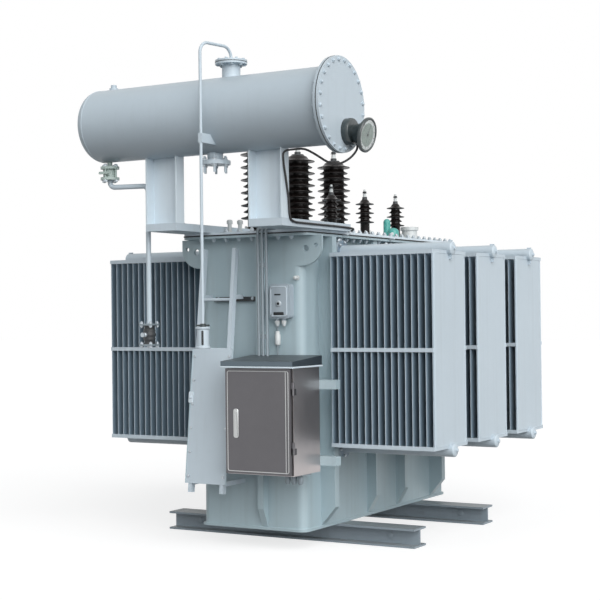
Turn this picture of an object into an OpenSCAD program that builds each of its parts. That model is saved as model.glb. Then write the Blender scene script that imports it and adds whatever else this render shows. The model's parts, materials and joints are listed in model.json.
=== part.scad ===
// Oil-filled power transformer with panel radiators, an end conservator and a control cabinet.
// Millimetres, +Z up. The origin lies on the floor at the centre of the skid bolt pattern.
// +X points across the tank, and the cabinet end of the tank looks along -Y.

/* [Tank] */
// outside width of the tank wall
tank_w = 820; // [600:10:1200]
// outside length of the tank wall
tank_l = 2220; // [1600:10:3200]
// height of the tank wall between floor and rim
tank_h = 1960; // [1200:10:2600]
// outside radius of the upright tank corners
tank_r = 60; // [30:5:120]
// plate thickness of the tank wall
tank_t = 10; // [6:1:16]
// plate thickness of the tank floor
floor_t = 16; // [10:1:30]
// ledge of the floor plate round the wall
floor_ledge = 12; // [0:1:40]
// overhang of the bolted rim round the wall
rim_over = 95; // [60:5:140]
// plate thickness of the rim
rim_t = 20; // [12:1:30]
// plate thickness of the cover
cover_t = 20; // [12:1:30]
// depth of an outer side rib
rib_outer_d = 110; // [60:5:120]
// depth of an inner side rib
rib_inner_d = 75; // [40:5:110]
// width of a side rib
rib_w = 60; // [30:5:100]
// height of the slanted rib foot
rib_foot = 130; // [60:10:240]
// reach of a lifting lug from the wall
lug_reach = 150; // [100:5:200]
// height of a lifting lug
lug_h = 200; // [120:10:300]
// plate thickness of a lifting lug
lug_t = 20; // [12:1:30]
// radius of the lifting hole
lug_hole_r = 22; // [12:1:35]
// radius of the small hole beside it for a tag line
lug_tag_r = 14; // [6:1:18]

/* [Skid] */
// length of a skid beam
skid_l = 2010; // [1400:10:2800]
// distance between the two skid beams
skid_gauge = 1176; // [900:2:1600]
// height of a skid beam
skid_h = 130; // [100:5:250]
// flange width of a skid beam
skid_w = 180; // [100:5:250]
// web thickness of a skid beam
skid_web = 12; // [6:1:20]
// flange thickness of a skid beam
skid_flange = 14; // [8:1:24]
// distance between the foundation holes along a beam
bolt_span = 1800; // [1200:10:2600]
// distance of the foundation holes from the beam centre line
bolt_side = 50; // [30:1:80]
// radius of a foundation hole
bolt_r = 11; // [8:1:18]
// radius of a haulage hole through the web
haul_r = 19; // [10:1:30]

/* [Radiators] */
// number of panels in a radiator
fin_count = 16; // [8:1:24]
// distance between two panels
fin_pitch = 49.5; // [40:0.5:60]
// distance of the first panel from the middle of the tank
fin_x = 552; // [480:1:700]
// panel width along the tank
fin_w = 520; // [400:5:600]
// panel height
fin_h = 1300; // [900:10:2200]
// panel thickness
fin_t = 13; // [8:1:18]
// bevel of the upright panel edges
fin_bevel = 4.5; // [2:0.5:6]
// drop of the panel top under the rim
fin_drop = 114; // [60:1:300]
// distance of the outer radiators from the tank end
rad_inset = 135; // [60:5:300]
// outside radius of a header pipe
header_r = 45; // [30:1:60]
// height of a header axis beyond the panel end
header_out = 14; // [0:1:40]
// length of the header beyond the outer panel
header_end = 30; // [10:1:60]
// radius of a valve flange
valve_r = 82; // [60:1:110]
// thickness of a valve flange
valve_flange = 16; // [10:1:24]
// thickness of the valve body between the flanges
valve_body = 38; // [20:1:60]
// gap between tank wall and first valve flange
valve_gap = 26; // [15:1:60]
// height of a tie bar
tie_h = 26; // [15:1:50]
// thickness of a tie bar
tie_t = 8; // [4:1:14]

/* [Conservator] */
// outside radius of the conservator
cons_r = 245; // [180:5:320]
// plate thickness of the conservator
cons_t = 8; // [5:1:12]
// height of the conservator axis over the cover
cons_rise = 734; // [500:2:1100]
// distance of the conservator axis from the tank end wall
cons_out = 450; // [300:10:700]
// place of the dished end seam
cons_x0 = -890; // [-1300:10:-800]
// place of the bolted end face
cons_x1 = 969; // [700:1:1200]
// depth of the dished end
dish_d = 102; // [80:2:140]
// knuckle radius of the dished end
knuckle_r = 62; // [30:2:70]
// radius of the bolted end disc
disc_r = 300; // [260:2:360]
// thickness of the bolted end disc
disc_t = 18; // [10:1:30]
// thickness of the ring welded behind the end disc
ring_t = 20; // [10:1:30]
// width of a conservator leg
leg_w = 250; // [180:5:360]
// depth of a conservator leg
leg_d = 90; // [60:5:140]
// plate thickness of a conservator leg
leg_t = 10; // [6:1:16]
// place of the left leg
leg_left_x = -382; // [-600:2:-200]
// place of the right leg
leg_right_x = 430; // [200:2:600]
// height of a support beam
beam_h = 50; // [40:5:100]
// gap between a support beam and the first bushing flange
beam_gap = 10; // [5:1:60]

/* [Bushings] */
// distance between the high-voltage bushings
hv_pitch = 565; // [450:5:700]
// place of the high-voltage row
hv_x = -265; // [-300:5:-150]
// shed radius of a high-voltage bushing
hv_shed_r = 130; // [110:1:170]
// radius of the small sheds of a high-voltage bushing
hv_small_r = 111; // [90:1:150]
// core radius of a high-voltage bushing
hv_core_r = 81; // [60:1:100]
// distance between the large sheds of a high-voltage bushing
hv_shed_pitch = 92; // [80:1:120]
// number of large sheds of a high-voltage bushing
hv_sheds = 6; // [4:1:9]
// distance between the low-voltage bushings
lv_pitch = 508; // [300:2:600]
// place of the low-voltage row
lv_x = 305; // [200:5:340]
// shed radius of a low-voltage bushing
lv_shed_r = 68; // [50:1:90]
// radius of the small sheds of a low-voltage bushing
lv_small_r = 50; // [40:1:75]
// core radius of a low-voltage bushing
lv_core_r = 34; // [25:1:55]
// distance between the large sheds of a low-voltage bushing
lv_shed_pitch = 67; // [50:1:90]
// number of large sheds of a low-voltage bushing
lv_sheds = 3; // [2:1:6]

/* [Cabinet] */
// cabinet width
cab_w = 500; // [400:10:700]
// cabinet depth without the door
cab_d = 338; // [200:2:450]
// cabinet height
cab_h = 690; // [500:10:1000]
// sheet thickness of the cabinet
cab_t = 4; // [2:0.5:6]
// place of the left cabinet side
cab_x = 65; // [-100:5:200]
// height of the cabinet foot over the floor
cab_z = 550; // [400:10:800]
// thickness of the door
door_t = 18; // [10:1:30]
// gap round the moving door
door_gap = 5; // [5:0.5:8]
// radius of a hinge knuckle
hinge_r = 8; // [5:0.5:12]
// length of a hinge knuckle
hinge_h = 40; // [25:1:70]
// overhang of the cabinet roof
roof_over = 22; // [10:1:50]
// rise of the cabinet roof to the back
roof_rise = 30; // [10:1:60]
// depth of the roof lip
roof_lip = 42; // [20:1:70]
// section of the mounting rails
rail_s = 60; // [40:5:90]
// length of the mounting rails
rail_l = 565; // [450:5:800]

/* [Ladder] */
// ladder width
lad_w = 280; // [220:5:400]
// place of the ladder middle
lad_x = -186; // [-300:2:-100]
// height of the ladder foot over the floor
lad_z = 395; // [200:5:600]
// distance of the ladder foot from the tank end wall
lad_out = 300; // [200:10:450]
// lean of the ladder in degrees
lad_lean = 6.7; // [0:0.1:12]
// drop of the ladder top under the rim
lad_drop = 70; // [40:2:400]
// stringer width in the plane of the ladder
lad_bar_w = 28; // [15:1:50]
// stringer depth
lad_bar_d = 40; // [25:1:60]
// radius of a ladder rung
rung_r = 11; // [8:1:16]
// distance between the rungs
rung_pitch = 340; // [250:5:360]
// place of the first rung along the ladder
rung_first = 284; // [100:2:340]
// width of the climbing guard
guard_w = 320; // [240:5:420]
// height of the climbing guard
guard_h = 905; // [500:5:1300]
// height of the guard foot along the ladder
guard_z = 60; // [0:5:200]
// sheet thickness of the climbing guard
guard_t = 4; // [2:0.5:6]
// depth of the guard lip
guard_lip = 30; // [15:1:60]

/* [Hidden] */
$fn = 48;

// overrun of every cut
over = 1;
// colours
paint = [0.66, 0.72, 0.76];
steel = [0.62, 0.62, 0.61];
glaze = [0.10, 0.08, 0.07];
dark = [0.16, 0.17, 0.18];
pale = [0.82, 0.84, 0.84];
teal = [0.20, 0.55, 0.52];
black = [0.06, 0.06, 0.06];

// levels and planes
floor_top = skid_h + floor_t;
rim_top = floor_top + tank_h + rim_t;
cover_top = rim_top + cover_t;
end_y = -tank_l / 2;
cons_y = end_y - cons_out;
cons_z = cover_top + cons_rise;
fin_z = floor_top + tank_h - fin_drop - fin_h;
rad_pitch = tank_l / 2 - rad_inset - fin_w / 2;
fin_last = fin_x + (fin_count - 1) * fin_pitch;
header_top = fin_z + fin_h + header_out;
header_low = fin_z - header_out;

// box from its low corner
module box(low, size) {
    translate(low) cube(size);
}

// round bar from one point to another
module rod(a, b, r) {
    d = b - a;
    len = norm(d);
    translate(a) rotate([0, acos(d[2] / len), atan2(d[1], d[0])]) cylinder(r = r, h = len);
}

// level pipe along +X whose end turns into an upright leg, down where the leg is negative
module bent_end(reach, leg, r, bend) {
    s = sign(leg);
    rotate([0, 90, 0]) cylinder(r = r, h = reach - bend);
    translate([reach - bend, 0, s * bend]) rotate([90, 0, 0]) rotate([0, 0, s > 0 ? 270 : 0])
        rotate_extrude(angle = 90) translate([bend, 0]) circle(r = r);
    translate([reach, 0, min(leg, s * bend)]) cylinder(r = r, h = abs(leg) - bend);
}

// pipe between two points by way of a level stretch, with a bend at each of its ends
module bridge(a, b, level, r, bend) {
    d = b - a;
    reach = norm([d[0], d[1]]);
    translate([(a[0] + b[0]) / 2, (a[1] + b[1]) / 2, level]) rotate([0, 0, atan2(d[1], d[0])]) {
        bent_end(reach / 2, b[2] - level, r, bend);
        rotate([0, 0, 180]) bent_end(reach / 2, a[2] - level, r, bend);
    }
}

// cylinder along X
module barrel(x, y, z, r, h) {
    translate([x, y, z]) rotate([0, 90, 0]) cylinder(r = r, h = h);
}

// upright rounded block centred in plan
module rounded(w, l, r, z, h) {
    box([-w / 2 + r, -l / 2, z], [w - 2 * r, l, h]);
    box([-w / 2, -l / 2 + r, z], [w, l - 2 * r, h]);
    for (sx = [-1, 1], sy = [-1, 1])
        translate([sx * (w / 2 - r), sy * (l / 2 - r), z]) cylinder(r = r, h = h);
}

// skid beam with a foundation hole at each end of the outer flange half and haulage holes in the web
haul_span = 1570;

module skid(side) {
    color(paint) translate([0, side * skid_gauge / 2, 0]) difference() {
        union() {
            box([-skid_l / 2, -skid_w / 2, 0], [skid_l, skid_w, skid_flange]);
            box([-skid_l / 2, -skid_w / 2, skid_h - skid_flange], [skid_l, skid_w, skid_flange]);
            box([-skid_l / 2, -skid_web / 2, 0], [skid_l, skid_web, skid_h]);
        }
        for (sx = [-1, 1]) translate([sx * bolt_span / 2, side * bolt_side, -over])
            cylinder(r = bolt_r, h = skid_flange + 2 * over);
        for (sx = [-1, 1]) translate([sx * haul_span / 2, skid_web / 2 + over, skid_h / 2])
            rotate([90, 0, 0]) cylinder(r = haul_r, h = skid_web + 2 * over);
    }
}

module skid_front() {
    skid(-1);
}

module skid_rear() {
    skid(1);
}

module tank_floor() {
    color(paint) rounded(tank_w + 2 * floor_ledge, tank_l + 2 * floor_ledge, tank_r, skid_h, floor_t);
}

// places of the side ribs along the half length of the tank, and their depths
rib_shares = [-0.7775, -0.1676, 0.254, 0.7775];
rib_d = [rib_outer_d, rib_inner_d, rib_inner_d, rib_outer_d];

// side rib with a slanted foot, standing on the +X wall
module side_rib(y, d) {
    translate([tank_w / 2 - tank_t / 2, y + rib_w / 2, floor_top]) rotate([90, 0, 0])
        linear_extrude(height = rib_w)
            polygon([[0, 0], [tank_t / 2, 0], [tank_t / 2 + d, rib_foot],
                [tank_t / 2 + d, tank_h], [0, tank_h]]);
}

// lifting lug in the plane of the end wall: a plate with a round foot and two holes
lug_curve_share = 0.62;
lug_steps = 8;
lug_hole_shares = [0.2, 0.575];
lug_tag_shares = [0.71, 0.68];

module lifting_lug() {
    curve = lug_h * lug_curve_share;
    translate([tank_w / 2 - tank_r, end_y + lug_t, floor_top + tank_h - lug_h]) rotate([90, 0, 0])
        difference() {
            linear_extrude(height = lug_t)
                polygon(concat([[0, 0]], [for (i = [0 : lug_steps]) let (a = 90 - i * 90 / lug_steps)
                    [tank_r + lug_reach * cos(a), curve * (1 - sin(a))]],
                    [[tank_r + lug_reach, lug_h], [0, lug_h]]));
            translate([tank_r + lug_reach * lug_hole_shares[0], lug_h * lug_hole_shares[1], -over])
                cylinder(r = lug_hole_r, h = lug_t + 2 * over);
            translate([tank_r + lug_reach * lug_tag_shares[0], lug_h * lug_tag_shares[1], -over])
                cylinder(r = lug_tag_r, h = lug_t + 2 * over);
        }
}

module tank_wall() {
    color(paint) {
        difference() {
            union() {
                rounded(tank_w, tank_l, tank_r, floor_top, tank_h + rim_t);
                rounded(tank_w + 2 * rim_over, tank_l + 2 * rim_over, tank_r, rim_top - rim_t, rim_t);
                for (s = [0, 1]) mirror([s, 0, 0]) {
                    for (i = [0 : len(rib_d) - 1]) side_rib(rib_shares[i] * tank_l / 2, rib_d[i]);
                    for (e = [0, 1]) mirror([0, e, 0]) lifting_lug();
                }
            }
            rounded(tank_w - 2 * tank_t, tank_l - 2 * tank_t, tank_r - tank_t,
                floor_top - over, tank_h + rim_t + 2 * over);
        }
    }
}

module tank_cover() {
    color(paint) rounded(tank_w + 2 * rim_over, tank_l + 2 * rim_over, tank_r, rim_top, cover_t);
}

// panel radiator on the +X side, centred on its own header, with a lug down over the outer panel
eye_drop = 72;
eye_h = 8;
eye_t = 16;

module radiator_unit() {
    wall_x = tank_w / 2;
    header_x = wall_x + valve_gap;
    stack = 2 * valve_flange + valve_body;
    for (i = [0 : fin_count - 1])
        translate([fin_x + i * fin_pitch, 0, fin_z]) linear_extrude(height = fin_h)
            polygon([[-fin_t / 2 + fin_bevel, -fin_w / 2], [fin_t / 2 - fin_bevel, -fin_w / 2],
                [fin_t / 2, -fin_w / 2 + 2 * fin_bevel], [fin_t / 2, fin_w / 2 - 2 * fin_bevel],
                [fin_t / 2 - fin_bevel, fin_w / 2], [-fin_t / 2 + fin_bevel, fin_w / 2],
                [-fin_t / 2, fin_w / 2 - 2 * fin_bevel], [-fin_t / 2, -fin_w / 2 + 2 * fin_bevel]]);
    for (z = [header_top, header_low]) {
        barrel(wall_x, 0, z, header_r, fin_last + header_end - wall_x);
        barrel(header_x, 0, z, valve_r, valve_flange);
        barrel(header_x + valve_flange, 0, z, valve_r - valve_flange / 2, valve_body);
        barrel(header_x + valve_flange + valve_body, 0, z, valve_r, valve_flange);
    }
    box([fin_last, -eye_t / 2, header_top - eye_drop],
        [header_end, eye_t, eye_drop + header_r + eye_h]);
    for (s = [-1, 1], z = [fin_z, fin_z + fin_h / 2 - tie_h / 2, fin_z + fin_h - tie_h])
        box([fin_x - fin_t / 2, s * fin_w / 2 - tie_t / 2, z], [fin_last - fin_x + fin_t, tie_t, tie_h]);
}

module radiator(side, row) {
    color(paint) mirror([side, 0, 0]) translate([0, row * rad_pitch, 0]) radiator_unit();
}

module radiator_right_1() {
    radiator(0, -1);
}

module radiator_right_2() {
    radiator(0, 0);
}

module radiator_right_3() {
    radiator(0, 1);
}

module radiator_left_1() {
    radiator(1, -1);
}

module radiator_left_2() {
    radiator(1, 0);
}

module radiator_left_3() {
    radiator(1, 1);
}

// pipe neck radii and flange sizes on the conservator
neck_r = 60;
neck_h = 80;
nozzle_r = 104;
nozzle_x = 156;
nozzle_t = 14;

// plug over the left end of the conservator
plug_x = -800;
plug_r = 20;
plug_h = 34;
plug_base_r = 30;
plug_base_h = 12;

module conservator_shell() {
    color(paint) difference() {
        union() {
            barrel(cons_x0, cons_y, cons_z, cons_r, cons_x1 - disc_t - cons_x0);
            barrel(cons_x1 - disc_t - ring_t, cons_y, cons_z, disc_r, ring_t);
            translate([plug_x, cons_y, cons_z]) {
                cylinder(r = plug_r, h = cons_r + plug_h);
                cylinder(r = plug_base_r, h = cons_r + plug_base_h);
            }
        }
        barrel(cons_x0 - over, cons_y, cons_z, cons_r - cons_t, cons_x1 - cons_x0 + 2 * over);
    }
}

// outline of a dished end from its seam to its pole: a knuckle arc, then a crown arc
dish_steps = 8;
function dished(r, depth, knuckle, crown, turn) = concat(
    [for (i = [0 : dish_steps]) let (a = turn * i / dish_steps)
        [r - knuckle + knuckle * cos(a), knuckle * sin(a)]],
    [for (i = [1 : dish_steps]) let (a = (90 - turn) * (1 - i / dish_steps))
        [crown * sin(a), depth - crown + crown * cos(a)]]);

module conservator_dome() {
    wide = cons_r - knuckle_r;
    crown = (wide * wide + dish_d * dish_d - knuckle_r * knuckle_r) / (2 * (dish_d - knuckle_r));
    turn = atan2(crown - dish_d, wide);
    outer = dished(cons_r, dish_d, knuckle_r, crown, turn);
    inner = dished(cons_r - cons_t, dish_d - cons_t, knuckle_r - cons_t, crown - cons_t, turn);
    color(paint) translate([cons_x0, cons_y, cons_z]) rotate([0, -90, 0])
        rotate_extrude() polygon(concat(outer, [for (i = [len(inner) - 1 : -1 : 0]) inner[i]]));
}

module conservator_cover() {
    color(paint) barrel(cons_x1 - disc_t, cons_y, cons_z, disc_r, disc_t);
}

module conservator_nozzle() {
    color(paint) translate([nozzle_x, cons_y, cons_z]) difference() {
        union() {
            cylinder(r = neck_r, h = cons_r + neck_h);
            translate([0, 0, cons_r + neck_h]) cylinder(r = nozzle_r, h = 2 * nozzle_t);
        }
        rotate([0, 90, 0]) translate([0, 0, -cons_r]) cylinder(r = cons_r, h = 2 * cons_r);
    }
}

// conservator leg: an upright channel open to the front, cut to the vessel
module conservator_leg(x) {
    foot = cover_top + beam_h;
    color(paint) difference() {
        union() {
            box([x - leg_w / 2, cons_y + leg_d / 2 - leg_t, foot], [leg_w, leg_t, cons_z - foot]);
            for (s = [0, 1])
                box([x - leg_w / 2 + s * (leg_w - leg_t), cons_y - leg_d / 2, foot],
                    [leg_t, leg_d, cons_z - foot]);
        }
        barrel(x - leg_w, cons_y, cons_z, cons_r, 2 * leg_w);
    }
}

// beam that lies on the cover and carries a conservator leg beyond the tank end
module support_beam(x) {
    color(paint) box([x - leg_w / 2, cons_y - leg_d / 2, cover_top],
        [leg_w, leg_d / 2 - cons_y - hv_pitch - hv_flange_r - beam_gap, beam_h]);
}

module support_beam_left() {
    support_beam(leg_left_x);
}

module support_beam_right() {
    support_beam(leg_right_x);
}

module conservator_leg_left() {
    conservator_leg(leg_left_x);
}

module conservator_leg_right() {
    conservator_leg(leg_right_x);
}

// flange with hanging bolts under the conservator
sump_x = 25;
sump_r = 100;
sump_neck_r = 52;
sump_neck_h = 46;
sump_t = 26;
stud_r = 8;
stud_up = 28;
stud_down = 52;
stud_circle_r = 78;
stud_count = 6;

module sump_flange() {
    low = cons_z - cons_r - sump_neck_h;
    color(paint) translate([sump_x, cons_y, 0]) difference() {
        union() {
            translate([0, 0, low]) cylinder(r = sump_neck_r, h = cons_z - low);
            translate([0, 0, low - sump_t]) cylinder(r = sump_r, h = sump_t);
            for (i = [0 : stud_count - 1]) rotate([0, 0, i * 360 / stud_count])
                translate([stud_circle_r, 0, low - sump_t - stud_down])
                    cylinder(r = stud_r, h = stud_down + sump_t + stud_up);
        }
        translate([-cons_r, 0, cons_z]) rotate([0, 90, 0]) cylinder(r = cons_r, h = 2 * cons_r);
    }
}

// drain line from the low left end of the conservator
drain_x = -840;
drain_r = 17;
drain_flange_r = 64;
drain_flange_t = 18;
drain_body_r = 38;
drain_body_h = 56;
drain_neck_h = 30;
drain_stud_r = 7;
drain_stud_out = 50;
drain_stud_past = 16;
drain_low = 172;
drain_down_x = -565;
drain_down_y = 60;
drain_end_z = 1530;
drain_bend = 36;

module drain_valve() {
    top = cons_z - cons_r - drain_neck_h;
    color(paint) translate([drain_x, cons_y, 0]) difference() {
        union() {
            translate([0, 0, top]) cylinder(r = drain_r, h = cons_z - top);
            translate([0, 0, top - drain_flange_t]) cylinder(r = drain_flange_r, h = drain_flange_t);
            translate([0, 0, top - drain_flange_t - drain_body_h])
                cylinder(r = drain_body_r, h = drain_body_h);
            translate([0, 0, top - 2 * drain_flange_t - drain_body_h])
                cylinder(r = drain_flange_r, h = drain_flange_t);
            for (a = [0 : 90 : 270]) rotate([0, 0, a])
                translate([drain_stud_out, 0, top - 2 * drain_flange_t - drain_body_h - drain_stud_past])
                    cylinder(r = drain_stud_r, h = drain_body_h + 2 * drain_flange_t + 2 * drain_stud_past);
        }
        translate([-cons_r, 0, cons_z]) rotate([0, 90, 0]) cylinder(r = cons_r, h = 2 * cons_r);
    }
}

module drain_pipe() {
    top = cons_z - cons_r - drain_neck_h - 2 * drain_flange_t - drain_body_h;
    low = cons_z - cons_r - drain_low;
    color(paint) bridge([drain_x, cons_y, top], [drain_down_x, cons_y + drain_down_y, drain_end_z],
        low, drain_r, drain_bend);
}

cock_w = 108;
cock_t = 12;
cock_r = 44;
cock_h = 126;

module drain_cock() {
    color(dark) translate([drain_down_x, cons_y + drain_down_y, drain_end_z]) {
        box([-cock_w / 2, -cock_w / 2, -cock_t], [cock_w, cock_w, cock_t]);
        translate([0, 0, -cock_t - cock_h]) cylinder(r = cock_r, h = cock_h);
        box([-cock_w / 2, -cock_w / 2, -2 * cock_t - cock_h], [cock_w, cock_w, cock_t]);
    }
}

// vent pipe over the front of the conservator with a breather at hand height
vent_r = 10;
vent_x = 107;
vent_out = 285;
vent_bend = 70;
vent_rise = 14;
vent_end_z = 1510;
clamp_h = 60;
clamp_t = 30;
clamp_z = 175;

module vent_pipe() {
    base = cons_z + cons_r + neck_h + 2 * nozzle_t;
    crest = base + vent_rise + vent_bend;
    color(paint) {
        bridge([nozzle_x, cons_y, base], [vent_x, cons_y - vent_out, vent_end_z], crest, vent_r, vent_bend);
        difference() {
            box([vent_x - clamp_t / 2, cons_y - vent_out - vent_r, cons_z - clamp_z - clamp_h / 2],
                [clamp_t, vent_out, clamp_h]);
            barrel(vent_x - cons_r, cons_y, cons_z, cons_r, 2 * cons_r);
        }
    }
}

breather_r = 40;
breather_h = 110;
breather_cap_r = 47;
breather_cap_t = 14;

module breather() {
    color(pale) translate([vent_x, cons_y - vent_out, vent_end_z]) {
        translate([0, 0, -breather_cap_t]) cylinder(r = breather_cap_r, h = breather_cap_t);
        translate([0, 0, -breather_cap_t - breather_h]) cylinder(r = breather_r, h = breather_h);
        translate([0, 0, -2 * breather_cap_t - breather_h])
            cylinder(r = breather_cap_r, h = breather_cap_t);
    }
}

// oil-level gauge on the bolted end disc: an adaptor, a tilted neck and a round dial case
gauge_y = 63;
gauge_drop = 165;
gauge_base_r = 87;
gauge_base_l = 50;
gauge_neck_r = 36;
gauge_neck_l = 108;
gauge_tilt = 12;
gauge_r = 107;
gauge_t = 45;
gauge_sunk = 11;
gauge_gland_x = 68;
gauge_gland_r = 11;
gauge_gland_h = 60;

module oil_gauge() {
    color(dark) translate([cons_x1, cons_y + gauge_y, cons_z - gauge_drop]) {
        rotate([0, 90, 0]) {
            cylinder(r = gauge_base_r, h = gauge_base_l);
            rotate([0, gauge_tilt, 0]) {
                translate([0, 0, gauge_base_l / 2])
                    cylinder(r = gauge_neck_r, h = gauge_neck_l - gauge_base_l / 2);
                translate([0, 0, gauge_neck_l - gauge_sunk]) cylinder(r = gauge_r, h = gauge_t);
            }
        }
        translate([gauge_gland_x, 0, -gauge_neck_r - gauge_gland_h / 2])
            cylinder(r = gauge_gland_r, h = gauge_gland_h);
    }
}

// directions of a route and a normal carried along it, for a swept tube
function unit(v) = v / norm(v);
function heading(p, i) = unit(p[min(i + 1, len(p) - 1)] - p[max(i - 1, 0)]);
function square_to(v, t) = unit(v - (v * t) * t);
function normals(p, i, n) = i == len(p) ? []
    : let (m = square_to(n, heading(p, i))) concat([m], normals(p, i + 1, m));

// tube of a few sides swept through a row of points
tube_sides = 10;

module tube(p, r, start_normal) {
    sides = tube_sides;
    n = normals(p, 0, start_normal);
    rings = [for (i = [0 : len(p) - 1], k = [0 : sides - 1])
        let (a = k * 360 / sides, b = cross(heading(p, i), n[i])) p[i] + r * (cos(a) * n[i] + sin(a) * b)];
    walls = [for (i = [0 : len(p) - 2], k = [0 : sides - 1]) let (j = (k + 1) % sides)
        [i * sides + k, (i + 1) * sides + k, (i + 1) * sides + j, i * sides + j]];
    ends = [[for (k = [0 : sides - 1]) k], [for (k = [sides - 1 : -1 : 0]) (len(p) - 1) * sides + k]];
    polyhedron(points = rings, faces = concat(walls, ends), convexity = 6);
}

// point on a smooth curve through four points, and the whole curve through a row
function spline(a, b, c, d, t) = ((2 * b) + (c - a) * t + (2 * a - 5 * b + 4 * c - d) * t * t
    + (3 * b - a - 3 * c + d) * t * t * t) / 2;
function smooth(p, steps) = concat([for (i = [0 : len(p) - 2], k = [0 : steps - 1])
    spline(p[max(i - 1, 0)], p[i], p[i + 1], p[min(i + 2, len(p) - 1)], k / steps)], [p[len(p) - 1]]);

// signal cable from the gauge, under the conservator, down the right leg and along its beam;
// the route is given from the end wall and the top of the cover
cable_r = 7;
cable_steps = 3;
cable_seat = 0.6;
cable_route = [[1037, -387, 454], [1000, -415, 399], [937, -445, 367], [866, -450, 382],
    [780, -450, 434], [700, -450, 474], [630, -465, 476], [575, -490, 464], [564, -486, 414],
    [563, -460, 314], [563, -425, 174], [563, -415, 74], [563, -370, 32], [563, -190, 26],
    [563, 210, 26], [563, 420, 22], [545, 470, 14], [490, 510, 8]];

module gauge_cable() {
    start = [cons_x1 + gauge_gland_x, gauge_y - cons_out,
        cons_rise - gauge_drop - gauge_neck_r - gauge_gland_h / 2 - cable_seat];
    color(black) translate([0, end_y, cover_top])
        tube(smooth(concat([start], cable_route), cable_steps), cable_r, [0, 1, 0]);
}

// ribbed bushing turned about its own axis, with shares of the shed pitch and of the core
edge_share = 0.1;
rise_share = 0.25;
lip_share = 0.4;
head_share = 0.5;
cap_share = 2;

module bushing(core, large, small, pitch, count, flange_r, flange_h, neck_h, stud, stud_h) {
    edge = pitch * edge_share;
    rise = pitch * rise_share;
    lip = edge * lip_share;
    low = flange_h + neck_h;
    top = low + (count - 1) * pitch + 2 * rise;
    cap = stud * cap_share;
    sheds = [for (i = [0 : 2 * count - 2])
        let (z = low + i * pitch / 2, r = i % 2 == 0 ? large : small)
            each [[core, z], [r - lip, z - edge], [r, z - edge + lip], [r, z - lip], [r - lip, z],
                [core, z + rise]]];
    rotate_extrude() polygon(concat([[0, 0], [flange_r, 0], [flange_r, flange_h], [core, flange_h]],
        sheds, [[core * head_share, top], [cap, top], [cap, top + rise], [stud, top + rise],
        [stud, top + rise + stud_h], [0, top + rise + stud_h]]));
}

hv_flange_r = 115;
hv_flange_h = 40;
hv_neck_h = 98;
hv_stud_r = 12;
hv_stud_h = 72;
lv_flange_r = 56;
lv_flange_h = 24;
lv_neck_h = 87;
lv_stud_r = 9;
lv_stud_h = 55;

module hv_bushing(i) {
    color(glaze) translate([hv_x, i * hv_pitch, cover_top])
        bushing(hv_core_r, hv_shed_r, hv_small_r, hv_shed_pitch, hv_sheds, hv_flange_r, hv_flange_h,
            hv_neck_h, hv_stud_r, hv_stud_h);
}

module lv_bushing(i) {
    color(glaze) translate([lv_x, i * lv_pitch, cover_top])
        bushing(lv_core_r, lv_shed_r, lv_small_r, lv_shed_pitch, lv_sheds, lv_flange_r, lv_flange_h,
            lv_neck_h, lv_stud_r, lv_stud_h);
}

module hv_bushing_1() {
    hv_bushing(-1);
}

module hv_bushing_2() {
    hv_bushing(0);
}

module hv_bushing_3() {
    hv_bushing(1);
}

module lv_bushing_1() {
    lv_bushing(-1);
}

module lv_bushing_2() {
    lv_bushing(0);
}

module lv_bushing_3() {
    lv_bushing(1);
}

// upright post and the two rails that carry the cabinet
post_x = 100;
post_w = 44;
rail_x = post_x + post_w / 2;
rail_low = 590;
rail_high = 1090;
rail_back_y = end_y - rail_s;

module instrument_post() {
    color(paint) translate([post_x - post_w / 2, end_y, floor_top]) rotate([90, 0, 90])
        linear_extrude(height = post_w)
            polygon([[0, 0], [0, tank_h], [-rail_s, tank_h], [-rail_s, rib_foot]]);
}

module cabinet_rail(z) {
    color(paint) box([rail_x, rail_back_y, z], [rail_l, rail_s, rail_s]);
}

module cabinet_rail_lower() {
    cabinet_rail(rail_low);
}

module cabinet_rail_upper() {
    cabinet_rail(rail_high);
}

// control cabinet
cab_back = rail_back_y;
cab_front = cab_back - cab_d;
cab_y = cab_front - door_gap;
hinge_x = cab_x + cab_w + hinge_r;
hinge_y = cab_y - door_t / 2;
hinge_leaf_t = 5;
hinge_pin_r = 4;
hinge_fit = 0.3;
hinge_play = 1;
hinge_leaf = 44;
hinge_shares = [0.2, 0.75];
door_w = cab_w - hinge_r;

module cabinet_body() {
    color(steel) {
        difference() {
            box([cab_x, cab_front, cab_z], [cab_w, cab_d, cab_h]);
            box([cab_x + cab_t, cab_front - over, cab_z + cab_t],
                [cab_w - 2 * cab_t, cab_d - cab_t + over, cab_h - 2 * cab_t]);
        }
    }
}

// height of the sloping roof at a depth
roof_front = cab_y - door_t - roof_over;
function roof_level(y) = cab_z + cab_h + roof_lip
    + roof_rise * (y - roof_front) / (cab_back - roof_front);

module cabinet_roof() {
    top = cab_z + cab_h;
    color(steel) translate([cab_x - roof_over, 0, 0]) rotate([90, 0, 90])
        linear_extrude(height = cab_w + 2 * roof_over)
            polygon([[cab_back, top], [cab_back, roof_level(cab_back)],
                [roof_front, roof_level(roof_front)], [roof_front, top]]);
}

// fixed hinge knuckles with their pins on the right side of the cabinet
module cabinet_hinges() {
    color(steel) for (share = hinge_shares) translate([0, 0, cab_z + share * cab_h]) {
        box([cab_x + cab_w, hinge_y, 0], [hinge_leaf_t, hinge_leaf, hinge_h]);
        translate([hinge_x, hinge_y, 0]) {
            cylinder(r = hinge_r, h = hinge_h);
            cylinder(r = hinge_pin_r, h = 2 * hinge_h + hinge_play);
        }
    }
}

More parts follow.
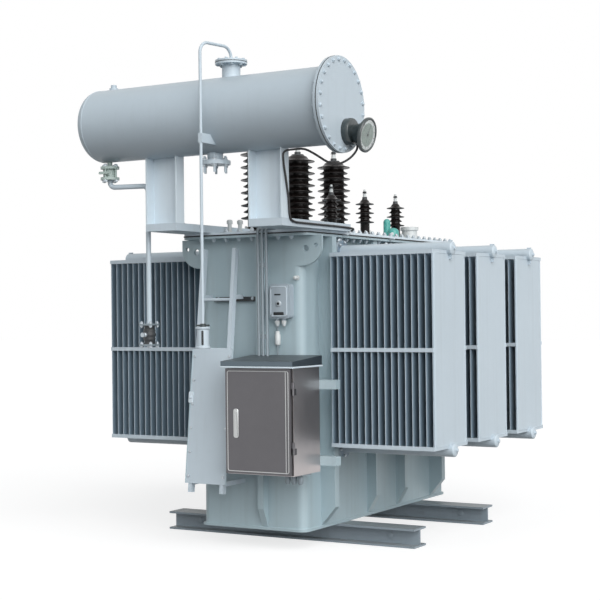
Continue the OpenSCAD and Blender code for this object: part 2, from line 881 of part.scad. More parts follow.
module cabinet_door() {
    color(steel) difference() {
        union() {
            box([cab_x, cab_y - door_t, cab_z + door_gap], [door_w, door_t, cab_h - 2 * door_gap]);
            for (share = hinge_shares)
                translate([0, hinge_y, cab_z + share * cab_h + hinge_h + hinge_play]) {
                    box([cab_x + door_w - door_t, -hinge_leaf_t / 2, 0],
                        [hinge_x - cab_x - door_w + door_t, hinge_leaf_t, hinge_h]);
                    translate([hinge_x, 0, 0]) cylinder(r = hinge_r, h = hinge_h);
                }
        }
        for (share = hinge_shares) translate([hinge_x, hinge_y, cab_z + share * cab_h + hinge_h])
            cylinder(r = hinge_pin_r + hinge_fit, h = hinge_h + hinge_play + over);
    }
}

handle_x = 62;
handle_w = 38;
handle_h = 190;
handle_t = 14;
handle_z = 330;

module cabinet_handle() {
    color(pale) box([cab_x + handle_x, cab_y - door_t - handle_t, cab_z + handle_z - handle_h / 2],
        [handle_w, handle_t, handle_h]);
}

gland_r = 16;
gland_h = 60;
gland_x = 400;
gland_step = 48;
gland_plate = [190, 120, 10];

module cabinet_glands() {
    color(pale) translate([cab_x + gland_x, (cab_front + cab_back) / 2, cab_z]) {
        box([-gland_plate[0] / 2, -gland_plate[1] / 2, -gland_plate[2]], gland_plate);
        for (i = [-1 : 1]) translate([i * gland_step, 0, -gland_h]) cylinder(r = gland_r, h = gland_h);
    }
}

// ladder leaning on the tank end
lad_l = (floor_top + tank_h - lad_drop - lad_z) / cos(lad_lean);

module leaned() {
    translate([lad_x, end_y - lad_out, lad_z]) rotate([-lad_lean, 0, 0]) children();
}

arm_w = 12;
arm_h = 30;
arm_shares = [0.027, 0.784];

module ladder() {
    color(paint) {
        leaned() {
            for (s = [-1, 1])
                box([s * (lad_w - lad_bar_w) / 2 - lad_bar_w / 2, 0, 0], [lad_bar_w, lad_bar_d, lad_l]);
            for (z = [rung_first : rung_pitch : lad_l - rung_r])
                barrel(-lad_w / 2 + lad_bar_w / 2, lad_bar_d / 2, z, rung_r, lad_w - lad_bar_w);
        }
        difference() {
            for (s = [-1, 1], share = arm_shares)
                box([lad_x + s * (lad_w - lad_bar_w) / 2 - arm_w / 2, end_y - lad_out, lad_z + share * lad_l],
                    [arm_w, lad_out, arm_h]);
            leaned() box([-lad_w, -lad_out, -lad_bar_d], [2 * lad_w, lad_out + lad_bar_d / 2, lad_l]);
        }
    }
}

module ladder_guard() {
    color(paint) leaned() {
        box([-guard_w / 2, -guard_t, guard_z], [guard_w, guard_t, guard_h]);
        box([-guard_w / 2, -guard_t, guard_z], [guard_t, guard_lip, guard_h]);
    }
}

// temperature box, a little under the middle of the wall between the cabinet roof and the rim
tbox_w = 160;
tbox_h = 232;
tbox_d = 56;
tbox_x = 182;
tbox_drop = 38;
tbox_r = 24;
tbox_z = (roof_level(cab_back) + floor_top + tank_h - tbox_h) / 2 - tbox_drop;
lid_in = 12;
lid_t = 9;
tbox_gland_r = 13;
tbox_gland_h = 46;
tbox_gland_shares = [0.3, 0.62];

module terminal_box() {
    color(pale) translate([tbox_x + tbox_w / 2, end_y, tbox_z + tbox_h / 2]) {
        rotate([90, 0, 0]) {
            rounded(tbox_w, tbox_h, tbox_r, 0, tbox_d);
            rounded(tbox_w - 2 * lid_in, tbox_h - 2 * lid_in, tbox_r - lid_in, tbox_d, lid_t);
        }
        for (share = tbox_gland_shares)
            translate([(share - head_share) * tbox_w, -tbox_d / 2, -tbox_h / 2 - tbox_gland_h])
                cylinder(r = tbox_gland_r, h = 2 * tbox_gland_h);
    }
}

// cable tubes from the cover to the cabinet roof, with straps under the rim and over the roof
tube_r = 10;
tube_x = [141, 174, 206];
tube_gap = 18;
tube_bend = 16;
strap_h = 30;
strap_t = 6;
strap_drops = [206];
strap_rises = [108];

module conduits() {
    y = end_y - rim_over - tube_gap - tube_r;
    top = cover_top + tube_r;
    low = roof_level(y + tube_r);
    levels = concat([for (drop = strap_drops) floor_top + tank_h - drop],
        [for (rise = strap_rises) roof_level(cab_back) + rise]);
    color(pale) {
        for (x = tube_x) translate([x, end_y, top]) rotate([0, 0, -90])
            bent_end(end_y - y, low - top, tube_r, tube_bend);
        for (level = levels) {
            translate([tube_x[0] - tube_r, y - strap_t / 2, level]) {
                cube([tube_x[2] - tube_x[0] + 2 * tube_r, strap_t, strap_h]);
                cube([strap_h, rail_back_y - y + strap_t / 2, strap_h]);
            }
        }
    }
}

// pressure relief valve and tap post on the cover
relief_x = 330;
relief_y = 700;
relief_r = 60;
relief_h = 78;
relief_cap_r = 70;
relief_cap_h = 26;

module relief_valve() {
    color(pale) translate([relief_x, relief_y, cover_top]) {
        cylinder(r = relief_r, h = relief_h);
        translate([0, 0, relief_h]) cylinder(r = relief_cap_r, h = relief_cap_h);
    }
}

tap_x = 300;
tap_y = 370;
tap_r = 27;
tap_h = 154;

module tap_post() {
    color(teal) translate([tap_x, tap_y, cover_top]) {
        cylinder(r = tap_r, h = tap_h - tap_r);
        translate([0, 0, tap_h - tap_r]) sphere(r = tap_r);
    }
}

skid_front();
skid_rear();
tank_floor();
tank_wall();
tank_cover();
instrument_post();
cabinet_rail_lower();
cabinet_rail_upper();
radiator_right_1();
radiator_right_2();
radiator_right_3();
radiator_left_1();
radiator_left_2();
radiator_left_3();
conservator_shell();
conservator_dome();
conservator_cover();
conservator_nozzle();
conservator_leg_left();
conservator_leg_right();
support_beam_left();
support_beam_right();
sump_flange();
drain_valve();
drain_pipe();
drain_cock();
vent_pipe();
breather();
oil_gauge();
gauge_cable();
hv_bushing_1();
hv_bushing_2();
hv_bushing_3();
lv_bushing_1();
lv_bushing_2();
lv_bushing_3();
cabinet_body();
cabinet_roof();
cabinet_hinges();
cabinet_door();
cabinet_handle();
cabinet_glands();
ladder();
ladder_guard();
terminal_box();
conduits();
relief_valve();
tap_post();
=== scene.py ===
"""Looks of an oil-filled power transformer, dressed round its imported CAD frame.

The frame is that of the CAD part: +Z is up, the origin lies on the floor, and the cabinet end of
the tank looks along -Y. Lengths are metres, and only the tables of type Profile are millimetres:
rows of (radius, height), or of (x, y) for the gauge's hand. Each sub-assembly is a class with its
sizes as fields.
"""

import json
import logging
import math
from dataclasses import dataclass
from enum import Enum

import bpy
import numpy as np
from mathutils import Matrix
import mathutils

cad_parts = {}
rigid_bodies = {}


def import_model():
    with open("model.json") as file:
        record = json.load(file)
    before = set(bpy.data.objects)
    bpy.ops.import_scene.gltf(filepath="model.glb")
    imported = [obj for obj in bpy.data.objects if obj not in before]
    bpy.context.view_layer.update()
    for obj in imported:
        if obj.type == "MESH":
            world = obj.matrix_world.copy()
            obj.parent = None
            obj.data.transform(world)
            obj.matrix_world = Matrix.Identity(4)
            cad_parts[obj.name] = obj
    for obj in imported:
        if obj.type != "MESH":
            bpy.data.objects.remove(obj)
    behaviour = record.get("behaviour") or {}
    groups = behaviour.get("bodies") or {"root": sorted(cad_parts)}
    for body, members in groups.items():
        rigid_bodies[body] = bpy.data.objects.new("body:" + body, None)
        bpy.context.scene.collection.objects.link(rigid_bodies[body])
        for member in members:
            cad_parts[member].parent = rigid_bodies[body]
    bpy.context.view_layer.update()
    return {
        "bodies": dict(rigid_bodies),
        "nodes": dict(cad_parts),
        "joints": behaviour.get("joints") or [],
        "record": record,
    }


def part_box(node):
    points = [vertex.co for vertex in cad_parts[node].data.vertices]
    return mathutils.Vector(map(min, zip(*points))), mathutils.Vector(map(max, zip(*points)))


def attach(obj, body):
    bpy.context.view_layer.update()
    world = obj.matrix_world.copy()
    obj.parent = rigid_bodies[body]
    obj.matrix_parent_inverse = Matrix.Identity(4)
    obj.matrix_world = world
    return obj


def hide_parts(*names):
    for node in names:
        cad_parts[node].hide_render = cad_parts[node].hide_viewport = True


Array = np.ndarray
Vector = tuple[float, float, float]
Place = Array | Vector
Colour = tuple[float, float, float, float]
Profile = tuple[tuple[float, float], ...]
Socket = bpy.types.NodeSocket
Material = bpy.types.Material

LOG = logging.getLogger("transformer")
MM_PER_M = 1000
FULL_TURN = 2 * math.pi
QUARTER_TURN = FULL_TURN / 4
UP: Vector = (0.0, 0.0, 1.0)
DOWN: Vector = (0.0, 0.0, -1.0)
RIGHT: Vector = (1.0, 0.0, 0.0)
LEFT: Vector = (-1.0, 0.0, 0.0)
FRONT: Vector = (0.0, -1.0, 0.0)
BACK: Vector = (0.0, 1.0, 0.0)
NEAR_UPRIGHT = 0.95
NOISE_ROUGHNESS = 0.55
BEAD_SIDES = 8
WHITE: Colour = (1.0, 1.0, 1.0, 1.0)


class Body(str, Enum):
    """CAD bodies that a piece can ride on."""

    TANK = "transformer"
    DOOR = "door"


class Slot(str, Enum):
    """Material slots of the record."""

    TANK = "tank_paint"
    RADIATOR = "radiator_paint"
    CONSERVATOR = "conservator_paint"
    SKID = "skid_paint"
    STAINLESS = "stainless"
    HANDLE = "handle"
    PORCELAIN = "porcelain"
    CASTING = "dark_casting"
    PALE = "pale_fitting"
    GREEN = "green_fitting"
    CABLE = "cable"


# Surfaces


@dataclass
class Surface:
    """Points of a surface and the faces on them.

    Attributes:
        points: Array of shape (n, 3).
        faces: Arrays of point numbers, one array for each number of corners.
    """

    points: Array
    faces: list[Array]

    def stamped(self, frames: Array) -> "Surface":
        """Copies of the surface: point p becomes R_k p + t_k for every frame k.

        Args:
            frames: Array of shape (k, 4, 4).

        Returns:
            All copies as one surface.
        """
        turned_points = np.einsum("kij,nj->kni", frames[:, :3, :3], self.points)
        points = turned_points + frames[:, None, :3, 3]
        shift = (np.arange(len(frames)) * len(self.points))[:, None, None]
        faces = [(f[None] + shift).reshape(-1, f.shape[1]) for f in self.faces]
        return Surface(points.reshape(-1, 3), faces)

    def at(self, places: Place, axis: Vector = UP, spin: float = 0.0) -> "Surface":
        """Copies of the surface at places, with its Z along an axis."""
        return self.stamped(frames_at(places, axis, spin))


def joined(*surfaces: Surface) -> Surface:
    """Several surfaces as one, with the point numbers of each shifted past those before it.

    Args:
        surfaces: The surfaces in their order.

    Returns:
        The joined surface.
    """
    starts = np.cumsum([0] + [len(s.points) for s in surfaces[:-1]])
    faces = [f + start for s, start in zip(surfaces, starts) for f in s.faces]
    return Surface(np.concatenate([s.points for s in surfaces]), faces)


def mm(rows: tuple) -> Array:
    """A table in millimetres, as metres."""
    return np.array(rows) / MM_PER_M


def steps_round(count: int) -> Array:
    """Angles at equal steps round a full turn."""
    return np.arange(count) * FULL_TURN / count


def raised(flat: Array, level: float) -> Array:
    """Flat points (x, y) at a level, as (x, y, z)."""
    return np.column_stack([flat, np.full(len(flat), level)])


def capped(points: Array, ring: bool = False) -> Surface:
    """Quads between neighbouring rows of a grid whose rows close on themselves.

    Args:
        points: Array of shape (rows, columns, 3).
        ring: Whether the last row joins the first. Else a flat face closes each end.

    Returns:
        The closed surface.
    """
    rows, columns = points.shape[:2]
    i = np.arange(rows if ring else rows - 1)[:, None]
    j = np.arange(columns)[None, :]
    after = (i + 1) % rows
    beside = (j + 1) % columns
    quads = [i * columns + j, i * columns + beside, after * columns + beside, after * columns + j]
    faces = [np.stack(quads, -1).reshape(-1, 4)]
    if not ring:
        end = np.arange(columns)
        faces += [end[::-1][None], (end + (rows - 1) * columns)[None]]
    return Surface(points.reshape(-1, 3), faces)


def turned(profile: Array | list, sides: int = 32, ring: bool = False) -> Surface:
    """A profile carried round the Z axis: point (i, j) is (r_i cos a_j, r_i sin a_j, z_i).

    Args:
        profile: Rows of (radius, height), up the outside, or anticlockwise for a ring.
        sides: Number of steps round the axis.
        ring: Whether the profile is a closed section.

    Returns:
        The closed surface.
    """
    radius, height = np.asarray(profile, float).T
    angle = steps_round(sides)
    x = radius[:, None] * np.cos(angle)
    y = radius[:, None] * np.sin(angle)
    return capped(np.stack([x, y, np.broadcast_to(height[:, None], x.shape)], -1), ring)


def carried(section: Array, path: Array, ring: bool = False, up: Vector = UP) -> Surface:
    """A section carried along a path: point (i, j) is path_i + x_j side_i + y_j lift_i.

    Side is square to the up direction and to the heading, and lift is square to both.

    Args:
        section: Rows of (x, y), anticlockwise.
        path: Points of the path.
        ring: Whether the path closes on itself.
        up: Direction that the lift stays close to.

    Returns:
        The closed surface.
    """
    if ring:
        heading = np.roll(path, -1, 0) - np.roll(path, 1, 0)
    else:
        heading = np.gradient(path, axis=0)
    heading /= np.linalg.norm(heading, axis=1)[:, None]
    side = np.cross(np.asarray(up), heading)
    side /= np.linalg.norm(side, axis=1)[:, None]
    lift = np.cross(heading, side)
    x, y = section.T[:, None, :, None]
    return capped(path[:, None] + x * side[:, None] + y * lift[:, None], ring)


def circle(radius: float, sides: int) -> Array:
    """Points (r cos a, r sin a) at equal steps of the angle a."""
    angle = steps_round(sides)
    return radius * np.stack([np.cos(angle), np.sin(angle)], -1)


def quarter_dome(radius: float, height: float, opening: float) -> Array:
    """Rows (r cos a, h sin a) of a quarter ellipse that stops an angle short of the axis."""
    angle = np.linspace(0, QUARTER_TURN - opening, 8)
    return np.column_stack([radius * np.cos(angle), height * np.sin(angle)])


def rounded_outline(width: float, height: float, radius: float, steps: int = 5) -> Array:
    """A rectangle whose corners are quarter circles, each round its own centre.

    Args:
        width: Size along x.
        height: Size along y.
        radius: Corner radius.
        steps: Steps in a corner.

    Returns:
        Rows of (x, y), anticlockwise.
    """
    angle = np.arange(4)[:, None] * QUARTER_TURN + np.linspace(0, QUARTER_TURN, steps + 1)
    x = np.array([1, -1, -1, 1])[:, None] * (width / 2 - radius) + radius * np.cos(angle)
    y = np.array([1, 1, -1, -1])[:, None] * (height / 2 - radius) + radius * np.sin(angle)
    return np.stack([x, y], -1).reshape(-1, 2)


def slab(outline: Array, thickness: float, edge: float) -> Surface:
    """A flat outline raised along +Z with a bevelled upper edge.

    The rows are the outline at 0 and at thickness less edge, then the outline drawn in along its
    own normals by the edge at full thickness.

    Args:
        outline: Rows of (x, y), anticlockwise.
        thickness: Height of the slab.
        edge: Width and height of the bevel.

    Returns:
        The closed surface.
    """
    along = np.roll(outline, -1, 0) - np.roll(outline, 1, 0)
    normal = np.stack([along[:, 1], -along[:, 0]], -1)
    normal /= np.linalg.norm(normal, axis=1)[:, None]
    rows = [(outline, 0.0), (outline, thickness - edge), (outline - normal * edge, thickness)]
    return capped(np.stack([raised(flat, level) for flat, level in rows]))


@dataclass(frozen=True)
class Plate:
    """A flat plate with round corners and a bevelled upper edge."""

    width: float
    height: float
    corner: float
    thickness: float
    edge: float = 0.0015
    steps: int = 5

    def surface(self) -> Surface:
        """The plate on the XY plane, round the origin."""
        outline = rounded_outline(self.width, self.height, self.corner, self.steps)
        return slab(outline, self.thickness, self.edge)


def frames_at(points: Place, axis: Vector, spin: float = 0.0) -> Array:
    """Frames at points whose Z looks along an axis, and whose Y is up where the axis is level.

    Args:
        points: One point, or an array of shape (k, 3).
        axis: Direction of the local Z.
        spin: Turn about the axis, in radians.

    Returns:
        Array of shape (k, 4, 4).
    """
    points = np.atleast_2d(np.asarray(points, float))
    z = np.asarray(axis, float) / np.linalg.norm(axis)
    x = np.array(RIGHT) if abs(z[2]) > NEAR_UPRIGHT else np.cross(UP, z)
    x = x - z * (x @ z)
    x /= np.linalg.norm(x)
    y = np.cross(z, x)
    frames = np.zeros((len(points), 4, 4))
    frames[:, :3, 0] = math.cos(spin) * x + math.sin(spin) * y
    frames[:, :3, 1] = math.cos(spin) * y - math.sin(spin) * x
    frames[:, :3, 2] = z
    frames[:, :3, 3] = points
    frames[:, 3, 3] = 1
    return frames


@dataclass(frozen=True)
class Bolt:
    """A hexagon head or nut on a washer, with the stud end that shows past it."""

    corner: float = 0.0173
    height: float = 0.013
    washer: float = 0.0185
    seat: float = 0.003
    stud: float = 0.010
    past: float = 0.0
    bevel: float = 0.002
    chamfer_share: float = 0.16
    crown_share: float = 0.86

    def surface(self) -> Surface:
        """A round washer, a six-sided head with a chamfered top, and a round stud end.

        Returns:
            The parts together, standing on the XY plane.
        """
        top = self.seat + self.height
        shoulder = top - self.height * self.chamfer_share
        crown = self.corner * self.crown_share
        head = [(self.corner, self.seat), (self.corner, shoulder), (crown, top)]
        parts = [turned([(self.washer, 0), (self.washer, self.seat)], 14), turned(head, 6)]
        if self.past:
            end = top + self.past
            tip = [(self.stud, top), (self.stud, end - self.bevel), (self.stud - self.bevel, end)]
            parts.append(turned(tip, 10))
        return joined(*parts)


def bolt_ring(centre: Place, axis: Vector, radius: float, count: int, start: float = 0.0) -> Array:
    """Frames at equal steps round a circle, square to an axis.

    Args:
        centre: Centre of the circle.
        axis: Direction that the bolts look along.
        radius: Radius of the circle.
        count: Number of bolts.
        start: Angle of the first bolt, in radians.

    Returns:
        Array of shape (count, 4, 4).
    """
    base = frames_at(centre, axis)[0]
    angle = (start + steps_round(count))[:, None]
    places = centre + radius * (np.cos(angle) * base[:3, 0] + np.sin(angle) * base[:3, 1])
    return frames_at(places, axis)


def ring_bead(path: Array, bead: float) -> Surface:
    """A round bead along a closed path."""
    return carried(circle(bead, BEAD_SIDES), path, ring=True)


def straight_bead(start: Place, end: Place, bead: float, up: Vector = UP) -> Surface:
    """A round bead between two points."""
    return carried(circle(bead, BEAD_SIDES), np.linspace(start, end, 3), up=up)


def gasket_ring(radius: float, out: float, half: float, sides: int,
                inward: float = 0.004) -> Surface:
    """A flat ring that shows past a round flange: a rectangle carried round Z.

    Args:
        radius: Radius of the flange.
        out: How far the ring shows past it.
        half: Half of the ring's thickness.
        sides: Number of steps round the axis.
        inward: How far the ring reaches in.

    Returns:
        The closed surface.
    """
    low, high = radius - inward, radius + out
    return turned([(low, -half), (high, -half), (high, half), (low, half)], sides, ring=True)


# Finishes


def linear(red: int, green: int, blue: int) -> Colour:
    """A colour given as 8-bit display values, in scene light with full opacity.

    Args:
        red: Red from 0 to 255.
        green: Green from 0 to 255.
        blue: Blue from 0 to 255.

    Returns:
        The shares of light and the opacity.
    """
    share = np.array([red, green, blue]) / 255
    low = share / 12.92
    high = ((share + 0.055) / 1.055) ** 2.4
    return (*np.where(share <= 0.04045, low, high).tolist(), 1.0)


class Graph:
    """A shader node tree that is filled by short calls."""

    def __init__(self, tree: bpy.types.NodeTree) -> None:
        """Keeps the tree and clears it."""
        self.tree = tree
        tree.nodes.clear()

    def add(self, kind: str, inputs: dict | None = None, **settings: object) -> bpy.types.Node:
        """Adds a node.

        Args:
            kind: Node type, without its ShaderNode prefix where it has one.
            inputs: Values or sockets by input name or number.
            settings: Attributes of the node.

        Returns:
            The new node.
        """
        prefix = "" if kind.startswith("Node") else "ShaderNode"
        node = self.tree.nodes.new(prefix + kind)
        for key, value in settings.items():
            setattr(node, key, value)
        for key, value in (inputs or {}).items():
            if isinstance(value, Socket):
                self.tree.links.new(value, node.inputs[key])
            else:
                node.inputs[key].default_value = value
        return node

    def math(self, operation: str, a: object, b: object = 0.0, clamp: bool = False) -> Socket:
        """A sum, product or other operation on two values or sockets."""
        return self.add("Math", {0: a, 1: b}, operation=operation, use_clamp=clamp).outputs[0]

    def noise(self, vector: Socket, scale: object, detail: float) -> Socket:
        """Factor of a noise texture on a vector."""
        inputs = {"Vector": vector, "Scale": scale, "Detail": detail, "Roughness": NOISE_ROUGHNESS}
        return self.add("TexNoise", inputs).outputs["Fac"]

    def stretched(self, vector: Socket, scale: Vector) -> Socket:
        """A vector scaled by its own factor along each axis."""
        return self.add("Mapping", {"Vector": vector, "Scale": scale}).outputs["Vector"]

    def mixed(self, share: object, a: object, b: object, blend: str = "MIX") -> Socket:
        """Two colours mixed by a share."""
        inputs = {0: share, 6: a, 7: b}
        return self.add("Mix", inputs, data_type="RGBA", blend_type=blend).outputs[2]

    def bump(self, height: Socket, distance: float, strength: float) -> Socket:
        """Normal of a relief."""
        inputs = {"Height": height, "Distance": distance, "Strength": strength}
        return self.add("Bump", inputs).outputs["Normal"]

    def place(self) -> Socket:
        """Place on the object, in its own frame."""
        return self.add("TexCoord").outputs["Object"]

    def facing(self, axis: str) -> Socket:
        """How far a face looks along an axis, from -1 to 1."""
        normal = self.add("NewGeometry").outputs["Normal"]
        return self.add("SeparateXYZ", {0: normal}).outputs[axis]


class SocketKind(str, Enum):
    """Socket types of a node group."""

    COLOUR = "NodeSocketColor"
    VALUE = "NodeSocketFloat"


class Effects:
    """Surface effects that several finishes share, each a node group."""

    def __init__(self) -> None:
        """Builds every group."""
        self.weather = self.weather_group()
        self.grain = self.grain_group()
        self.brushing = self.brushing_group()

    @staticmethod
    def group(name: str, **sockets: dict[str, SocketKind]) -> Graph:
        """An empty node group with named sockets.

        Args:
            name: Name of the group.
            sockets: Kinds of its sockets by name, under INPUT and OUTPUT.

        Returns:
            The graph of the group's tree.
        """
        tree = bpy.data.node_groups.new(name, "ShaderNodeTree")
        for way, kinds in sockets.items():
            for socket, kind in kinds.items():
                tree.interface.new_socket(socket, in_out=way, socket_type=kind.value)
        return Graph(tree)

    def weather_group(self) -> bpy.types.NodeTree:
        """A group that puts uneven tone, rain streaks and settled dust on a colour.

        Returns:
            The group's tree.
        """
        colour, value = SocketKind.COLOUR, SocketKind.VALUE
        g = self.group(
            "weather",
            INPUT={"Base": colour, "Mottle": value, "Streaks": value, "Dust": value},
            OUTPUT={"Color": colour, "Soil": value},
        )
        given = g.add("NodeGroupInput").outputs
        place = g.place()
        level = g.facing("Z")
        broad = g.noise(place, 1.6, 3.0)
        fine = g.noise(place, 17.0, 4.0)
        uneven = g.math("ADD", g.math("MULTIPLY", broad, 0.65), g.math("MULTIPLY", fine, 0.35))
        swing = g.math("MULTIPLY", g.math("SUBTRACT", uneven, 0.5), given["Mottle"])
        toned = g.mixed(1.0, given["Base"], g.math("ADD", 1.0, swing), "MULTIPLY")
        runs = g.noise(g.stretched(place, (24.0, 24.0, 0.8)), 1.0, 4.0)
        run_mask = g.math("MULTIPLY", g.math("SUBTRACT", runs, 0.52), 4.0, True)
        upright = g.math("SUBTRACT", 1.0, g.math("ABSOLUTE", level))
        streaked = g.math("MULTIPLY", g.math("MULTIPLY", run_mask, upright), given["Streaks"])
        settled = g.math("MULTIPLY", g.math("SUBTRACT", level, 0.55), 2.2, True)
        dusted = g.math("MULTIPLY", g.math("MULTIPLY", settled, fine), given["Dust"], True)
        soiled = g.mixed(streaked, toned, linear(112, 112, 106))
        dusty = g.mixed(dusted, soiled, linear(168, 164, 154))
        g.add("NodeGroupOutput", {"Color": dusty, "Soil": g.math("ADD", streaked, dusted, True)})
        return g.tree

    def grain_group(self) -> bpy.types.NodeTree:
        """A group that gives the height of a sprayed or cast skin, and a slow variation.

        Returns:
            The group's tree.
        """
        value = SocketKind.VALUE
        g = self.group("grain", INPUT={"Scale": value, "Waviness": value},
                       OUTPUT={"Height": value, "Variation": value})
        given = g.add("NodeGroupInput").outputs
        place = g.place()
        wavy = g.math("MULTIPLY", g.noise(place, 7.0, 1.0), given["Waviness"])
        height = g.math("ADD", g.noise(place, given["Scale"], 2.0), wavy)
        g.add("NodeGroupOutput", {"Height": height, "Variation": g.noise(place, 5.0, 4.0)})
        return g.tree

    def brushing_group(self) -> bpy.types.NodeTree:
        """A group that gives the height of long level scratches, and a wiped look.

        Returns:
            The group's tree.
        """
        value = SocketKind.VALUE
        g = self.group("brushing", INPUT={"Fineness": value},
                       OUTPUT={"Height": value, "Wipe": value})
        given = g.add("NodeGroupInput").outputs
        place = g.place()
        lines = g.noise(g.stretched(place, (2.0, 2.0, 160.0)), given["Fineness"], 3.0)
        wipe = g.noise(g.stretched(place, (5.0, 5.0, 2.2)), 1.0, 3.0)
        g.add("NodeGroupOutput", {"Height": lines, "Wipe": wipe})
        return g.tree


@dataclass(frozen=True)
class Finish:
    """What every finish has: a name, and the way its material is made."""

    name: str

    def material(self, effects: Effects) -> Material:
        """A material whose surface is the skin of the finish.

        Args:
            effects: The shared node groups.

        Returns:
            The material.
        """
        material = bpy.data.materials.new(self.name)
        material.use_nodes = True
        g = Graph(material.node_tree)
        g.add("OutputMaterial", {"Surface": self.skin(g, effects).outputs[0]})
        return material

    def skin(self, g: Graph, effects: Effects) -> bpy.types.Node:
        """The shader of the finish, which each kind makes in its own way."""
        raise NotImplementedError


@dataclass(frozen=True)
class Weathered(Finish):
    """A finish that stands outdoors: its colour in display values, its unevenness and its soil."""

    colour: tuple[int, int, int]
    roughness: float = 0.42
    spread: float = 0.16
    mottle: float = 0.16
    streaks: float = 0.10
    dust: float = 0.25

    def weathered(self, g: Graph, effects: Effects) -> bpy.types.bpy_prop_collection:
        """Outputs of the weather on the finish's colour.

        Args:
            g: The material's graph.
            effects: The shared node groups.

        Returns:
            The outputs by name.
        """
        values = {"Mottle": self.mottle, "Streaks": self.streaks, "Dust": self.dust}
        inputs = {"Base": linear(*self.colour), **values}
        return g.add("Group", inputs, node_tree=effects.weather).outputs

    def uneven(self, g: Graph, pattern: Socket) -> Socket:
        """Roughness that a pattern from 0 to 1 spreads about its mean."""
        swing = g.math("MULTIPLY", pattern, self.spread)
        return g.math("ADD", self.roughness - self.spread / 2, swing)


@dataclass(frozen=True)
class Coat(Weathered):
    """A sprayed, cast or moulded skin over metal or plastic, with painted shade in the gaps within a
    reach.
    """

    metallic: float = 0.0
    grain: float = 420.0
    waviness: float = 1.5
    relief: float = 0.0006
    relief_strength: float = 0.6
    soil_roughness: float = 0.25
    gloss: float = 0.0
    gloss_roughness: float = 0.08
    shine: float = 0.5
    # The gap fields paint shade on faces in the gaps between radiator panels.
    gap_reach: float = 0.0
    gap_facing: float = 0.8
    gap_tint: Colour = (0.32, 0.38, 0.43, 1.0)

    def gap_soil(self, g: Graph, colour: Socket) -> Socket:
        """Paints shade on faces that look along X and lie nearer the tank than the reach, where
        radiator panels shade each other.

        Args:
            g: The material's graph.
            colour: Colour of the face without the painted shade.

        Returns:
            The colour with painted shade in the gaps between panels.
        """
        place = g.add("SeparateXYZ", {0: g.place()}).outputs["X"]
        inside = g.math("LESS_THAN", g.math("ABSOLUTE", place), self.gap_reach)
        across = g.math("GREATER_THAN", g.math("ABSOLUTE", g.facing("X")), self.gap_facing)
        shaded = g.mixed(1.0, colour, self.gap_tint, "MULTIPLY")
        return g.mixed(g.math("MULTIPLY", inside, across), colour, shaded)

    def skin(self, g: Graph, effects: Effects) -> bpy.types.Node:
        """A shader with weathered colour, uneven roughness and a fine relief.

        Args:
            g: The material's graph.
            effects: The shared node groups.

        Returns:
            The shader node.
        """
        weather = self.weathered(g, effects)
        scales = {"Scale": self.grain, "Waviness": self.waviness}
        grain = g.add("Group", scales, node_tree=effects.grain).outputs
        soil = g.math("MULTIPLY", weather["Soil"], self.soil_roughness)
        rough = g.math("ADD", self.uneven(g, grain["Variation"]), soil, True)
        normal = g.bump(grain["Height"], self.relief, self.relief_strength)
        colour = weather["Color"]
        # Painted shade: the radiator faces in the gaps between panels are darkened by the gap tint.
        if self.gap_reach:
            colour = self.gap_soil(g, colour)
        return g.add("BsdfPrincipled", {
            "Base Color": colour, "Roughness": rough, "Metallic": self.metallic,
            "Specular IOR Level": self.shine, "Normal": normal,
            "Coat Weight": self.gloss, "Coat Roughness": self.gloss_roughness})


@dataclass(frozen=True)
class BrushedSheet(Weathered):
    """Brushed sheet metal with fine level scratches and wiped patches."""

    roughness: float = 0.34
    spread: float = 0.14
    mottle: float = 0.30
    streaks: float = 0.06
    dust: float = 0.30
    fineness: float = 6.0
    relief: float = 0.0002
    relief_strength: float = 0.5
    scratch_roughness: float = 0.08

    def skin(self, g: Graph, effects: Effects) -> bpy.types.Node:
        """A metal shader whose scratches vary its roughness and relief.

        Args:
            g: The material's graph.
            effects: The shared node groups.

        Returns:
            The shader node.
        """
        brushing = g.add("Group", {"Fineness": self.fineness}, node_tree=effects.brushing).outputs
        scratches = g.math("MULTIPLY", brushing["Height"], self.scratch_roughness)
        rough = g.math("ADD", self.uneven(g, brushing["Wipe"]), scratches, True)
        normal = g.bump(brushing["Height"], self.relief, self.relief_strength)
        return g.add("BsdfPrincipled", {
            "Base Color": self.weathered(g, effects)["Color"], "Roughness": rough, "Metallic": 1.0,
            "Normal": normal})


@dataclass(frozen=True)
class ClearCover(Finish):
    """Clear pane of a gauge, slightly uneven."""

    roughness: float = 0.05
    tint: Colour = (0.95, 0.97, 0.97, 1.0)
    bending: float = 1.45
    grain: float = 60.0
    waviness: float = 0.5

    def skin(self, g: Graph, effects: Effects) -> bpy.types.Node:
        """A clear shader with uneven roughness.

        Args:
            g: The material's graph.
            effects: The shared node groups.

        Returns:
            The shader node.
        """
        scales = {"Scale": self.grain, "Waviness": self.waviness}
        variation = g.add("Group", scales, node_tree=effects.grain).outputs["Variation"]
        rough = g.math("MULTIPLY", variation, 2 * self.roughness)
        return g.add("BsdfPrincipled", {
            "Base Color": self.tint, "Roughness": rough, "Transmission Weight": 1.0,
            "IOR": self.bending})


